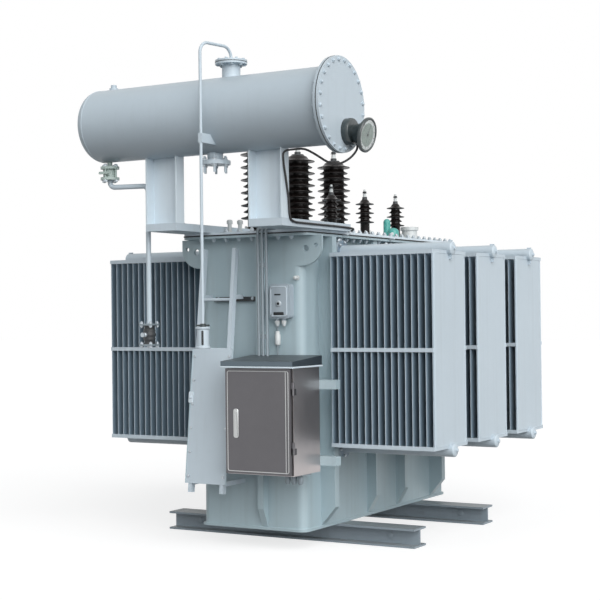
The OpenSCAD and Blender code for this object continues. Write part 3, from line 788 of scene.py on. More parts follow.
class Look(Enum):
    """Every finish of the object. A slot of the record has the finish of the same name."""

    TANK = Coat("tank_coat", (164, 183, 190), streaks=0.12)
    # The radiator coat paints shade on the panel faces within its gap reach.
    RADIATOR = Coat("radiator_coat", (190, 203, 212), mottle=0.12, streaks=0.08, gap_reach=1.2985)
    # A lighter copy of the paint, which is painted light where it is used: the cover, the legs, the
    # hasp and the edges of the roof and the box lid.
    BRIGHT = Coat("lit_paint_copy", (212, 224, 232), mottle=0.12, streaks=0.08)
    CONSERVATOR = Coat("conservator_coat", (190, 203, 212), mottle=0.12, streaks=0.07)
    VESSEL = Coat("vessel_coat", (175, 188, 197), mottle=0.12, streaks=0.07)
    SKID = Coat("skid_coat", (133, 145, 154), mottle=0.30, streaks=0.20, dust=0.5)
    STAINLESS = BrushedSheet("brushed_cabinet", (101, 100, 103), 0.44)
    # A lighter copy of the cabinet's brushed steel for its body: a painted reflection of the bright
    # floor on its sides.
    SHEET = BrushedSheet("brushed_body", (190, 184, 184), 0.36)
    ROOF = BrushedSheet("brushed_roof", (96, 107, 115), 0.45)
    HANDLE = Coat("plated_handle", (186, 188, 188), 0.30, metallic=0.85, streaks=0.0, grain=160.0)
    PORCELAIN = Coat("brown_glaze", (22, 18, 17), 0.26, 0.10, mottle=0.6, streaks=0.0, dust=0.0,
                     grain=40.0, waviness=0.6, relief=0.0012, gloss=0.05, shine=0.20)
    CASTING = Coat("dark_casting", (44, 47, 50), 0.50, mottle=0.5, streaks=0.05, dust=0.35,
                   grain=260.0, relief=0.0012)
    PALE = Coat("pale_enamel", (202, 206, 206), 0.36, mottle=0.10, streaks=0.06)
    GREEN = Coat("green_enamel", (74, 158, 150), 0.30, mottle=0.18, streaks=0.05)
    BOX = Coat("box_enamel", (166, 178, 187), 0.38, mottle=0.12)
    PIPE = Coat("galvanised_pipe", (132, 143, 150), 0.5, metallic=0.25, mottle=0.35, grain=300.0)
    GAUGE = Coat("gauge_enamel", (46, 56, 58), 0.34, mottle=0.25, streaks=0.0, dust=0.15, gloss=0.3)
    VALVE = Coat("valve_enamel", (176, 192, 186), 0.40, mottle=0.18, streaks=0.06)
    CABLE = Coat("cable_sheath", (30, 30, 32), 0.55, mottle=0.4, streaks=0.0, grain=700.0)
    ZINC = Coat("zinc_bolts", (176, 184, 190), metallic=0.75, mottle=0.4, streaks=0.0, grain=500.0)
    RUBBER = Coat("gasket_rubber", (34, 37, 40), 0.7, mottle=0.3, streaks=0.0, grain=800.0)
    DIAL = Coat("dial_face", (108, 126, 118), 0.45, mottle=0.08, streaks=0.0, dust=0.0)
    PANE = ClearCover("gauge_pane")


NODE_LOOKS = {
    "cabinet_roof": Look.ROOF,
    # The cabinet body takes the lighter copy of the brushed steel, a painted reflection.
    "cabinet_body": Look.SHEET,
    "terminal_box": Look.BOX,
    "conduits": Look.PIPE,
    "cabinet_glands": Look.PIPE,
    # The cover and the conservator legs take the lighter copy of the paint, a painted highlight.
    "tank_cover": Look.BRIGHT,
    "conservator_leg_left": Look.BRIGHT,
    "conservator_leg_right": Look.BRIGHT,
    "ladder_guard": Look.CONSERVATOR,
    "ladder": Look.CONSERVATOR,
    "drain_valve": Look.VALVE,
    "conservator_shell": Look.VESSEL,
    "conservator_dome": Look.VESSEL,
}


def dress(nodes: dict[str, bpy.types.Object], materials: dict[Look, Material]) -> None:
    """Gives every CAD node a finish of its own, or else that of its slot.

    Args:
        nodes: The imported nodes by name.
        materials: The material of each finish.
    """
    for name, node in nodes.items():
        for holder in node.material_slots:
            slot = Slot(holder.material.name.split(".")[0])
            holder.material = materials[NODE_LOOKS.get(name, Look[slot.name])]
        LOG.info("%s: CAD node dressed", name)


# Sub-assemblies


def add_object(name: str, data: bpy.types.ID) -> bpy.types.Object:
    """Puts an object with its data into the scene.

    Args:
        name: Name of the object.
        data: Its mesh, lamp or camera.

    Returns:
        The object.
    """
    item = bpy.data.objects.new(name, data)
    bpy.context.scene.collection.objects.link(item)
    return item


@dataclass(frozen=True)
class Box:
    """Lowest and highest corner of a CAD node."""

    low: Array
    high: Array

    @classmethod
    def of(cls, name: str) -> "Box":
        """The box of a CAD node."""
        low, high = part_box(name)
        return cls(np.array(low), np.array(high))

    @property
    def size(self) -> Array:
        """Width, depth and height."""
        return self.high - self.low

    def at(self, x: float = 0.5, y: float = 0.5, z: float = 0.5) -> Array:
        """A point at a share of the way along each axis."""
        return self.low + self.size * (x, y, z)


@dataclass
class Assembly:
    """A sub-assembly, which makes its pieces in shared materials."""

    materials: dict[Look, Material]

    def build(self) -> None:
        """Makes the pieces, which each sub-assembly does in its own way."""
        raise NotImplementedError

    def piece(self, name: str, surface: Surface, look: Look, slot: Slot, body: Body = Body.TANK,
              crease: float = 38.0, replaces: str = "") -> None:
        """Puts a surface into a mesh, gives it a finish and lets it ride on a body.

        Args:
            name: Name of the piece.
            surface: The surface, in the frame of the CAD part.
            look: Finish of the piece.
            slot: Material slot of the record for the piece; not used.
            body: CAD body that the piece moves with.
            crease: Angle in degrees past which an edge is sharp.
            replaces: CAD node that the piece stands in for, if any.
        """
        mesh = bpy.data.meshes.new(name)
        corners = [row for block in surface.faces for row in block.tolist()]
        mesh.from_pydata(surface.points.tolist(), [], corners)
        mesh.polygons.foreach_set("use_smooth", np.ones(len(mesh.polygons), bool))
        mesh.set_sharp_from_angle(angle=math.radians(crease))
        mesh.materials.append(self.materials[look])
        mesh.update()
        piece = add_object(name, mesh)
        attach(piece, body.value)
        if replaces:
            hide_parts(replaces)
        LOG.info("%s: %d faces on %s", name, len(corners), body.value)


@dataclass
class RimJoint(Assembly):
    """Bolted joint between the tank rim and its cover."""

    pitch: float = 0.098
    inset: float = 0.040
    corner: float = 0.060
    rim: float = 0.020
    gasket_out: float = 0.0012
    gasket_h: float = 0.009
    rib_places: tuple[float, ...] = (-0.863, -0.186, 0.282, 0.863)
    rib_room: float = 0.055
    lug_room: float = 0.080
    washer_room: float = 0.004
    covered_by: tuple[str, ...] = ("support_beam_left", "support_beam_right", "conduits")
    head: Bolt = Bolt(past=0.010)
    nut: Bolt = Bolt(0.0160, 0.013, 0.0180, 0.003, 0.009, 0.008)

    def stations(self, x: float, y: float) -> Array:
        """Plan places of the bolts at equal steps along the four sides, x and y from the middle.

        Args:
            x: Half of the bolts' rectangle across the tank.
            y: Half of it along the tank.

        Returns:
            Rows of (x, y).
        """
        across = np.linspace(-x, x, round(2 * x / self.pitch) + 1)
        along = np.linspace(-y, y, round(2 * y / self.pitch) + 1)[1:-1]
        rows = [np.column_stack([across, np.full(len(across), side * y)]) for side in (-1, 1)]
        rows += [np.column_stack([np.full(len(along), side * x), along]) for side in (-1, 1)]
        return np.concatenate(rows)

    def uncovered(self, places: Array) -> Array:
        """Places that no covering node hides in plan, with room for a washer.

        Args:
            places: Rows of (x, y).

        Returns:
            The places that are free.
        """
        room = self.head.washer + self.washer_room
        boxes = [Box.of(name) for name in self.covered_by]
        low = np.array([box.low[:2] for box in boxes]) - room
        high = np.array([box.high[:2] for box in boxes]) + room
        inside = (places[:, None] > low) & (places[:, None] < high)
        return places[~inside.all(-1).any(-1)]

    def build(self) -> None:
        """Makes the bolts, their nuts and the gasket line."""
        cover = Box.of("tank_cover")
        x, y, top = cover.high
        level = cover.low[2]
        places = self.stations(x - self.inset, y - self.inset)
        heads = self.head.surface().at(raised(self.uncovered(places), top))
        self.piece("rim_bolts", heads, Look.ZINC, Slot.TANK)
        side = np.abs(places[:, 0]) > x - 2 * self.inset
        by_rib = np.abs(places[:, 1:] - np.array(self.rib_places)).min(1) < self.rib_room
        by_lug = np.abs(places[:, 1]) > y - self.inset - self.lug_room
        kept = places[~(side & (by_rib | by_lug))]
        nuts = self.nut.surface().at(raised(kept, level - self.rim), DOWN)
        self.piece("rim_nuts", nuts, Look.CONSERVATOR, Slot.TANK)
        out = self.gasket_out
        outline = rounded_outline(2 * (x + out), 2 * (y + out), self.corner, 8)
        section = rounded_outline(4 * out, self.gasket_h, out / 2, 1)
        gasket = carried(section, raised(outline, level), ring=True)
        self.piece("rim_gasket", gasket, Look.RUBBER, Slot.TANK)


@dataclass
class RadiatorBank(Assembly):
    """Trim of the six panel radiators: valve bolts, end caps, seams and air plugs."""

    panel_w: float = 0.520
    panel_low: float = 0.692
    panel_high: float = 1.992
    panel_face: float = 1.301
    header_levels: tuple[float, float] = (2.006, 0.678)
    header_r: float = 0.045
    header_end: float = 1.3245
    cap_in: float = 0.004
    cap_h: float = 0.014
    cap_opening: float = 0.12
    plug_out: float = 0.013
    valve_in: float = 0.436
    valve_out: float = 0.506
    valve_r: float = 0.074
    bolt_circle: float = 0.068
    bolt_count: int = 6
    bolt_start: float = 0.3
    seam: float = 0.0028
    seam_in: float = 0.020
    seam_corner: float = 0.030
    stem: Profile = ((20, -10), (20, 18), (9, 22), (9, 52), (7, 54))
    lever: Plate = Plate(0.100, 0.018, 0.008, 0.006)
    lever_at: Vector = (0.030, 0.0, 0.040)
    bolt: Bolt = Bolt(0.0115, 0.009, 0.0125, 0.002, 0.006, 0.004)
    plug: Bolt = Bolt(0.013, 0.008, 0.016, 0.003)

    def build(self) -> None:
        """Makes the trim of all six radiators."""
        bolts, caps, plugs, spindles, seams = [], [], [], [], []
        width = self.panel_w - 2 * self.seam_in
        height = self.panel_high - self.panel_low - 2 * self.seam_in
        outline = rounded_outline(width, height, self.seam_corner)
        seam = ring_bead(raised(outline, 0.0), self.seam)
        ring = (self.bolt_circle, self.bolt_count, self.bolt_start)
        middle = (self.panel_low + self.panel_high) / 2
        valve = (self.valve_in + self.valve_out) / 2
        spindle_z = self.header_levels[0] + self.valve_r
        for side, out, back in (("right", RIGHT, LEFT), ("left", LEFT, RIGHT)):
            sign = out[0]
            for row in (1, 2, 3):
                y = Box.of(f"radiator_{side}_{row}").at()[1]
                for z in self.header_levels:
                    bolts.append(bolt_ring((sign * self.valve_in, y, z), back, *ring))
                    bolts.append(bolt_ring((sign * self.valve_out, y, z), out, *ring))
                    caps.append(frames_at((sign * self.header_end, y, z), out))
                    plugs.append(frames_at((sign * (self.header_end + self.plug_out), y, z), out))
                spindles.append(frames_at((sign * valve, y, spindle_z), UP))
                seams.append(frames_at((sign * self.panel_face, y, middle), out))
        dome = quarter_dome(self.header_r, self.cap_h, self.cap_opening)
        cap = turned(np.vstack([(self.header_r, -self.cap_in), dome]), 32)
        spindle = joined(turned(mm(self.stem), 16), self.lever.surface().at(self.lever_at))
        trim = (
            ("valve_bolts", self.bolt.surface(), bolts, Look.ZINC),
            ("header_caps", cap, caps, Look.RADIATOR),
            ("header_plugs", self.plug.surface(), plugs, Look.RADIATOR),
            ("valve_spindles", spindle, spindles, Look.ZINC),
            ("panel_seams", seam, seams, Look.RADIATOR),
        )
        for name, surface, frames, look in trim:
            self.piece(name, surface.stamped(np.concatenate(frames)), look, Slot.RADIATOR)


@dataclass(frozen=True)
class StudRing:
    """Studs under the vessel: their place along it, the drop to the upper nuts, and the grip."""

    x: float
    drop: float
    grip: float
    radius: float
    count: int


@dataclass
class Conservator(Assembly):
    """Trim of the expansion vessel: bolted end, seam, nozzle, sump and drain."""

    radius: float = 0.245
    disc_r: float = 0.300
    bolt_r: float = 0.277
    bolt_count: int = 24
    ring_t: float = 0.020
    gasket: tuple[float, float] = (0.0012, 0.0025)
    seam: float = 0.0020
    seam_x: float = -0.890
    nozzle_plate: float = 0.014
    nozzle_ring: tuple[float, int, float] = (0.085, 8, 0.2)
    nozzle_gasket: tuple[float, float] = (0.001, 0.002)
    sump: StudRing = StudRing(0.025, 0.046, 0.026, 0.078, 6)
    drain: StudRing = StudRing(-0.840, 0.030, 0.092, 0.050, 4)
    drain_body_r: float = 0.038
    boss: Profile = ((16, -20), (16, 16), (9, 20), (9, 34))
    lever: Plate = Plate(0.090, 0.018, 0.008, 0.008, 0.002)
    lever_z: float = 0.024
    bolt: Bolt = Bolt(0.0115, 0.008, 0.0135, 0.002, 0.006, 0.004)
    nut: Bolt = Bolt(0.0125, 0.010, 0.0135, 0.002, 0.006, 0.006)
    stud_nut: Bolt = Bolt(0.0150, 0.012, 0.0160, 0.0025)
    nozzle_nut: Bolt = Bolt(0.0110, 0.008, 0.0125, 0.002)

    def build(self) -> None:
        """Makes the trim."""
        disc = Box.of("conservator_cover")
        inner = disc.at(x=0)
        ring = (self.bolt_r, self.bolt_count, math.pi / self.bolt_count)
        heads = self.bolt.surface().stamped(bolt_ring(disc.at(x=1), RIGHT, *ring))
        nuts = self.nut.surface().stamped(bolt_ring(inner - (self.ring_t, 0, 0), LEFT, *ring))
        self.piece("end_disc_bolts", joined(heads, nuts), Look.CONSERVATOR, Slot.CONSERVATOR)
        gasket = gasket_ring(self.disc_r, *self.gasket, 96).at(inner, RIGHT)
        self.piece("end_disc_gasket", gasket, Look.RUBBER, Slot.CONSERVATOR)
        axis = inner * (0, 1, 1)
        section = circle(self.seam, BEAD_SIDES) + (self.radius, 0)
        bead = turned(section, 96, ring=True).at(axis + (self.seam_x, 0, 0), RIGHT)
        self.piece("vessel_seams", bead, Look.CONSERVATOR, Slot.CONSERVATOR)
        self.build_nozzle()
        self.build_studs(axis)

    def build_nozzle(self) -> None:
        """Makes the bolts and the gasket of the filling nozzle."""
        nozzle = Box.of("conservator_nozzle")
        top = nozzle.at(z=1)
        under = top - (0, 0, 2 * self.nozzle_plate)
        heads = self.nozzle_nut.surface().stamped(bolt_ring(top, UP, *self.nozzle_ring))
        nuts = self.nozzle_nut.surface().stamped(bolt_ring(under, DOWN, *self.nozzle_ring))
        self.piece("nozzle_bolts", joined(heads, nuts), Look.CONSERVATOR, Slot.CONSERVATOR)
        gasket = gasket_ring(nozzle.size[0] / 2, *self.nozzle_gasket, 64).at((top + under) / 2)
        self.piece("nozzle_gasket", gasket, Look.RUBBER, Slot.CONSERVATOR)

    def build_studs(self, axis: Array) -> None:
        """Makes the nuts on the sump's and the drain valve's studs, and the valve's lever.

        Args:
            axis: Point on the vessel's axis over the middle of the tank.
        """
        rings = []
        for studs in (self.sump, self.drain):
            top = axis + (studs.x, 0, -self.radius - studs.drop)
            rings.append(bolt_ring(top, UP, studs.radius, studs.count))
            rings.append(bolt_ring(top - (0, 0, studs.grip), DOWN, studs.radius, studs.count))
        nuts = self.stud_nut.surface().stamped(np.concatenate(rings))
        self.piece("stud_nuts", nuts, Look.ZINC, Slot.CONSERVATOR)
        lever = self.lever.surface().at((0.0, 0.0, self.lever_z))
        front = top - (0, self.drain_body_r, self.drain.grip / 2)
        handle = joined(turned(mm(self.boss), 18), lever).at(front, FRONT)
        self.piece("drain_lever", handle, Look.VALVE, Slot.CONSERVATOR)


@dataclass
class LevelGauge(Assembly):
    """Case and face of the oil-level gauge: flared horn, bezel, dial, pointer and pane."""

    tilt: float = 12.0
    base: Vector = (0.969, -1.497, 2.715)
    reach: float = 0.142
    waist_r: float = 0.052
    horn_r: float = 0.104
    horn_low: float = 0.107
    horn_l: float = 0.097
    flare: float = 2.2
    rim: Profile = ((107, -8), (107, 0))
    seat: Profile = ((81.48, -2), (84, 2), (84, 40), (78.96, 48), (58.8, 50))
    gland: Profile = ((11, 0), (11, 22), (15, 24), (15, 36), (11, 38), (11, 60))
    gland_at: Vector = (0.068, 0.0, -0.066)
    bezel: Profile = ((93, -2), (109, -2), (109, 6), (103, 12), (97, 11), (93, 6))
    dial: Profile = ((95, 0), (95, 2), (93, 2.5))
    centre: Profile = ((72, 2), (72, 3), (70, 3.4))
    mark: Plate = Plate(1.0, 0.0032, 0.001, 0.0006, 0.0002, 1)
    mark_count: int = 11
    mark_ends: tuple[float, float] = (-225, 45)
    mark_place: tuple[float, float] = (0.081, 0.0028)
    mark_l: tuple[float, float] = (0.020, 0.012)
    long_every: int = 5
    hand: Profile = ((-16, -4), (54, -1.4), (58, 0), (54, 1.4), (-16, 4))
    hand_t: float = 0.0012
    hand_edge: float = 0.0004
    hand_turn: float = 75.0
    hand_z: float = 0.0040
    hub: Profile = ((8, 0), (8, 3), (6, 4))
    pane_r: float = 0.093
    pane_levels: Vector = (0.006, 0.008, 0.011)
    pane_fall: float = 0.999

    def build(self) -> None:
        """Makes the case and the face.

        The horn's radius grows from the waist with a power of the way along it, and the pane is
        part of an ellipse turned about the dial's axis.
        """
        lean = math.radians(self.tilt)
        axis = np.array([math.cos(lean), 0.0, -math.sin(lean)])
        frame = frames_at(np.array(self.base) + axis * self.reach, tuple(axis))
        along = np.linspace(0, 1, 14)
        flare = self.waist_r + (self.horn_r - self.waist_r) * along ** self.flare
        horn = np.column_stack([flare, along * self.horn_l - self.horn_low])
        case = joined(
            turned(np.vstack([horn, mm(self.rim)]), 72).stamped(frame),
            turned(mm(self.seat), 64).at(self.base, RIGHT),
            turned(mm(self.gland), 24).at(np.array(self.base) + self.gland_at),
        )
        self.piece("gauge_case", case, Look.GAUGE, Slot.CASTING, replaces="oil_gauge")
        rise = np.linspace(0, 1, 6)
        foot, low, high = self.pane_levels
        crown = self.pane_r * np.sqrt(1 - rise ** 2 * self.pane_fall)
        pane = np.vstack([(self.pane_r, foot), np.column_stack([crown, low + (high - low) * rise])])
        face = (
            ("gauge_bezel", turned(mm(self.bezel), 64, ring=True), Look.GAUGE, Slot.CASTING),
            ("gauge_dial", turned(mm(self.dial), 64), Look.PALE, Slot.PALE),
            ("gauge_centre", turned(mm(self.centre), 64), Look.DIAL, Slot.CASTING),
            ("gauge_marks", self.marks(), Look.CABLE, Slot.CASTING),
            ("gauge_pointer", self.pointer(), Look.CABLE, Slot.CASTING),
            ("gauge_pane", turned(pane, 48), Look.PANE, Slot.PALE),
        )
        for name, surface, look, slot in face:
            self.piece(name, surface.stamped(frame), look, slot)

    def marks(self) -> Surface:
        """The scale: one mark stretched to two lengths and set round the dial.

        Returns:
            All marks together.
        """
        mark = self.mark.surface()
        radius, height = self.mark_place
        parts = []
        for number, angle in enumerate(np.radians(np.linspace(*self.mark_ends, self.mark_count))):
            length = self.mark_l[min(number % self.long_every, 1)]
            stretched = Surface(mark.points * (length, 1, 1), mark.faces)
            place = (radius * math.cos(angle), radius * math.sin(angle), height)
            parts.append(stretched.at(place, spin=angle))
        return joined(*parts)

    def pointer(self) -> Surface:
        """The hand on its hub.

        Returns:
            Both together, turned to the reading.
        """
        hand = slab(mm(self.hand), self.hand_t, self.hand_edge)
        both = joined(hand, turned(mm(self.hub), 20))
        return both.at((0.0, 0.0, self.hand_z), spin=math.radians(self.hand_turn))


@dataclass
class Bushing(Assembly):
    """A row of three ribbed porcelain bushings with clamped flanges, caps and terminals."""

    prefix: str
    core: float
    large: float
    small: float
    pitch: float
    count: int
    flange_r: float
    flange_h: float
    neck_h: float
    stud: float
    stud_h: float
    bolts: int
    bolt: Bolt
    edge_share: float = 0.05
    rise_share: float = 0.19
    bolt_gap: float = 0.002
    thread_rows: int = 25

    def shed_profile(self) -> Array:
        """Outline of all sheds: each is a hollow underside, a round rim and a sloping top.

        A point is (core + reach * share + shift, level + height), with the reach and the level of
        its own shed.

        Returns:
            Rows of (radius, height) over the flange.
        """
        edge, rise = self.pitch * self.edge_share, self.pitch * self.rise_share
        turn = np.linspace(-QUARTER_TURN - 0.3, QUARTER_TURN, 7)
        share = np.concatenate([[0.0, 0.05, 0.5], np.ones(7), [0.62, 0.3, 0.1, 0.0]])
        shift = np.concatenate([np.zeros(3), edge * (np.cos(turn) - 1), np.zeros(4)])
        slope = rise * np.array([0.2, 0.45, 0.75, 1.0])
        height = np.concatenate([[-0.004, 0.0, 0.0], -edge + edge * np.sin(turn), slope])
        order = np.arange(2 * self.count - 1)
        reach = np.where(order % 2 == 0, self.large, self.small) - self.core
        level = self.flange_h + self.neck_h + order * self.pitch / 2
        radius = self.core + reach[:, None] * share + shift
        return np.column_stack([radius.ravel(), (level[:, None] + height).ravel()])

    def porcelain(self, top: float) -> Surface:
        """The foot, the sheds and the crown up to the top, turned about Z.

        Args:
            top: Height of the porcelain.

        Returns:
            The closed surface.
        """
        core, neck = self.core, self.flange_h
        foot = [(core * 0.98, neck - 0.002), (core, neck + 0.004)]
        shoulder = top - self.pitch * 0.14
        crown = [(core * 0.86, shoulder), (core * 0.56, top - 0.002), (core * 0.5, top)]
        return turned(np.vstack([foot, self.shed_profile(), crown]), 72)

    def flange(self) -> Surface:
        """The clamping flange with its hub, turned about Z.

        Returns:
            The closed surface.
        """
        core, radius, height = self.core, self.flange_r, self.flange_h
        rim = [(radius, 0), (radius, height * 0.55), (radius * 0.96, height * 0.62)]
        hub = [(core + 0.012, height * 0.7), (core + 0.008, height + 0.006),
               (core - 0.002, height + 0.008)]
        return turned(rim + hub, 64)

    def cap(self, top: float, over: float) -> Surface:
        """The cap on the porcelain's top, and the nut on the stud over it.

        Args:
            top: Height of the porcelain.
            over: Height of the cap.

        Returns:
            Both together.
        """
        core, stud = self.core, self.stud
        bell = [(core * 0.60, top - 0.012), (core * 0.62, top - 0.004), (core * 0.56, top + 0.004),
                (stud * 2, top + 0.006), (stud * 2, over)]
        nut = Bolt(stud * 1.75, stud * 1.3, stud * 1.9, stud * 0.2).surface()
        return joined(turned(bell, 48), nut.at((0, 0, over + self.stud_h * 0.50)))

    def terminal(self, over: float) -> Surface:
        """The threaded stud over the cap, with its collar.

        Args:
            over: Height of the cap.

        Returns:
            Both together.
        """
        stud, rows = self.stud, self.thread_rows
        thread = np.where(np.arange(rows) % 2 == 0, stud, stud * 0.93)
        thread[-1] = stud * 0.8
        levels = np.linspace(over, over + self.stud_h, rows)
        collar = [(stud * 1.4, over - 0.002), (stud * 1.4, over + self.stud_h * 0.40),
                  (stud * 1.1, over + self.stud_h * 0.44)]
        return joined(turned(np.column_stack([thread, levels]), 28), turned(collar, 40))

    def build(self) -> None:
        """Makes the three bushings of the row."""
        top = self.flange_h + self.neck_h + (self.count - 1) * self.pitch + self.pitch * 0.5
        over = top + self.pitch * 0.25
        ring = bolt_ring((0, 0, self.flange_h * 0.6), UP,
                         self.flange_r - self.bolt.washer - self.bolt_gap, self.bolts)
        clamps = self.bolt.surface().stamped(ring)
        parts = (
            ("flange", self.flange(), Look.CASTING, Slot.CASTING),
            ("cap", self.cap(top, over), Look.CASTING, Slot.CASTING),
            ("terminal", self.terminal(over), Look.PALE, Slot.PALE),
            ("clamps", clamps, Look.PALE, Slot.CASTING),
        )
        porcelain = self.porcelain(top)
        for number in (1, 2, 3):
            node = f"{self.prefix}_bushing_{number}"
            place = Box.of(node).at(z=0)
            self.piece(f"{self.prefix}_porcelain_{number}", porcelain.at(place), Look.PORCELAIN,
                       Slot.PORCELAIN, crease=60.0, replaces=node)
            for part, surface, look, slot in parts:
                self.piece(f"{self.prefix}_{part}_{number}", surface.at(place), look, slot)


@dataclass
class Cabinet(Assembly):
    """Trim of the control cabinet and its door."""

    fold: float = 0.0032
    border: float = 0.016
    corner: float = 0.012
    door_gap: float = 0.008
    hinge_in: float = 0.0352
    hinge_end: float = 0.020
    roof_bead: float = 0.006
    roof_rise: float = 0.004
    plate_corner: float = 0.40
    plate_depth: float = 0.45
    plate_edge: float = 0.002
    lever_rows: int = 12
    lever_ends: tuple[float, float] = (-0.42, 0.30)
    lever_w: tuple[float, float] = (0.30, 0.20)
    lever_depth: tuple[float, float] = (0.70, 0.28)
    lock_r: float = 0.011
    lock_bevel: float = 0.002
    lock_depth: tuple[float, float] = (0.62, 0.68)
    lock_z: float = 0.39
    gland_steps: Vector = (-0.048, 0.0, 0.048)
    gland_nut: Profile = ((21, 22), (21, 40), (19, 43))
    gland_tip: Profile = ((12, -12), (16, -4), (19, 12), (19, 22))

    def build(self) -> None:
        """Makes the door's folds, the handle, the roof's edge and the gland nuts."""
        # Painted highlight: the folds take the bright plated finish, for the light that catches the
        # door's edges.
        self.piece("door_folds", self.folds(), Look.HANDLE, Slot.STAINLESS, Body.DOOR)
        self.piece("door_handle", self.handle(), Look.HANDLE, Slot.HANDLE, Body.DOOR,
                   replaces="cabinet_handle")
        roof = Box.of("cabinet_roof")
        rise = (0, 0, self.roof_rise)
        left, right, back = roof.low + rise, roof.at(1, 0, 0) + rise, roof.at(1, 1, 0) + rise
        edges = [straight_bead(*ends, self.roof_bead) for ends in ((left, right), (right, back))]
        # Painted highlight: the roof's front edge takes the lighter copy of the paint.
        self.piece("roof_edge", joined(*edges), Look.BRIGHT, Slot.STAINLESS)
        foot = Box.of("cabinet_glands").at(z=0)
        places = np.array([foot + (step, 0, 0) for step in self.gland_steps])
        nut = joined(turned(mm(self.gland_nut), 6), turned(mm(self.gland_tip), 24))
        self.piece("gland_nuts", nut.at(places), Look.PIPE, Slot.PALE)

    def folds(self) -> Surface:
        """The door's folded border, and the line of its hinge side.

        Returns:
            Both together.
        """
        door, body = Box.of("cabinet_door"), Box.of("cabinet_body")
        left, front = body.low[0], door.low[1]
        width = body.size[0] - self.door_gap
        inner = np.array([width, door.size[2]]) - 2 * self.border
        outline = rounded_outline(*inner, self.corner)
        middle = (left + width / 2, front, door.at()[2])
        border = ring_bead(raised(outline, 0.0), self.fold).at(middle, FRONT)
        hinge_x = left + width - self.hinge_in
        foot = (hinge_x, front, door.low[2] + self.hinge_end)
        head = (hinge_x, front, door.high[2] - self.hinge_end)
        return joined(border, straight_bead(foot, head, self.fold, FRONT))

    def handle(self) -> Surface:
        """The swing handle: a rounded escutcheon, a tapered lever and a lock.

        Row i of the lever is a rounded square, scaled to the lever's width at its own level. The
        sizes are shares of the handle's own width, depth and height.

        Returns:
            The closed surfaces together.
        """
        box = Box.of("cabinet_handle")
        width, depth, height = box.size
        escutcheon = Plate(width, height, width * self.plate_corner, depth * self.plate_depth,
                           self.plate_edge).surface()
        along = np.linspace(*self.lever_ends, self.lever_rows)[:, None] * height
        taper = width * np.linspace(*self.lever_w, self.lever_rows)[:, None]
        x, y = rounded_outline(1.0, 1.0, self.plate_corner, 3).T
        out, swell = self.lever_depth
        rows = np.broadcast_arrays(taper * x * 2, along, depth * (out - swell * y))
        lever = capped(np.stack(rows, -1))
        shoulder, end = depth * np.array(self.lock_depth)
        barrel = [(self.lock_r, 0.0), (self.lock_r, shoulder), (self.lock_r - self.lock_bevel, end)]
        lock = turned(barrel, 24).at((0.0, height * self.lock_z, 0.0))
        return joined(escutcheon, lever, lock).at(box.at(y=1), FRONT)


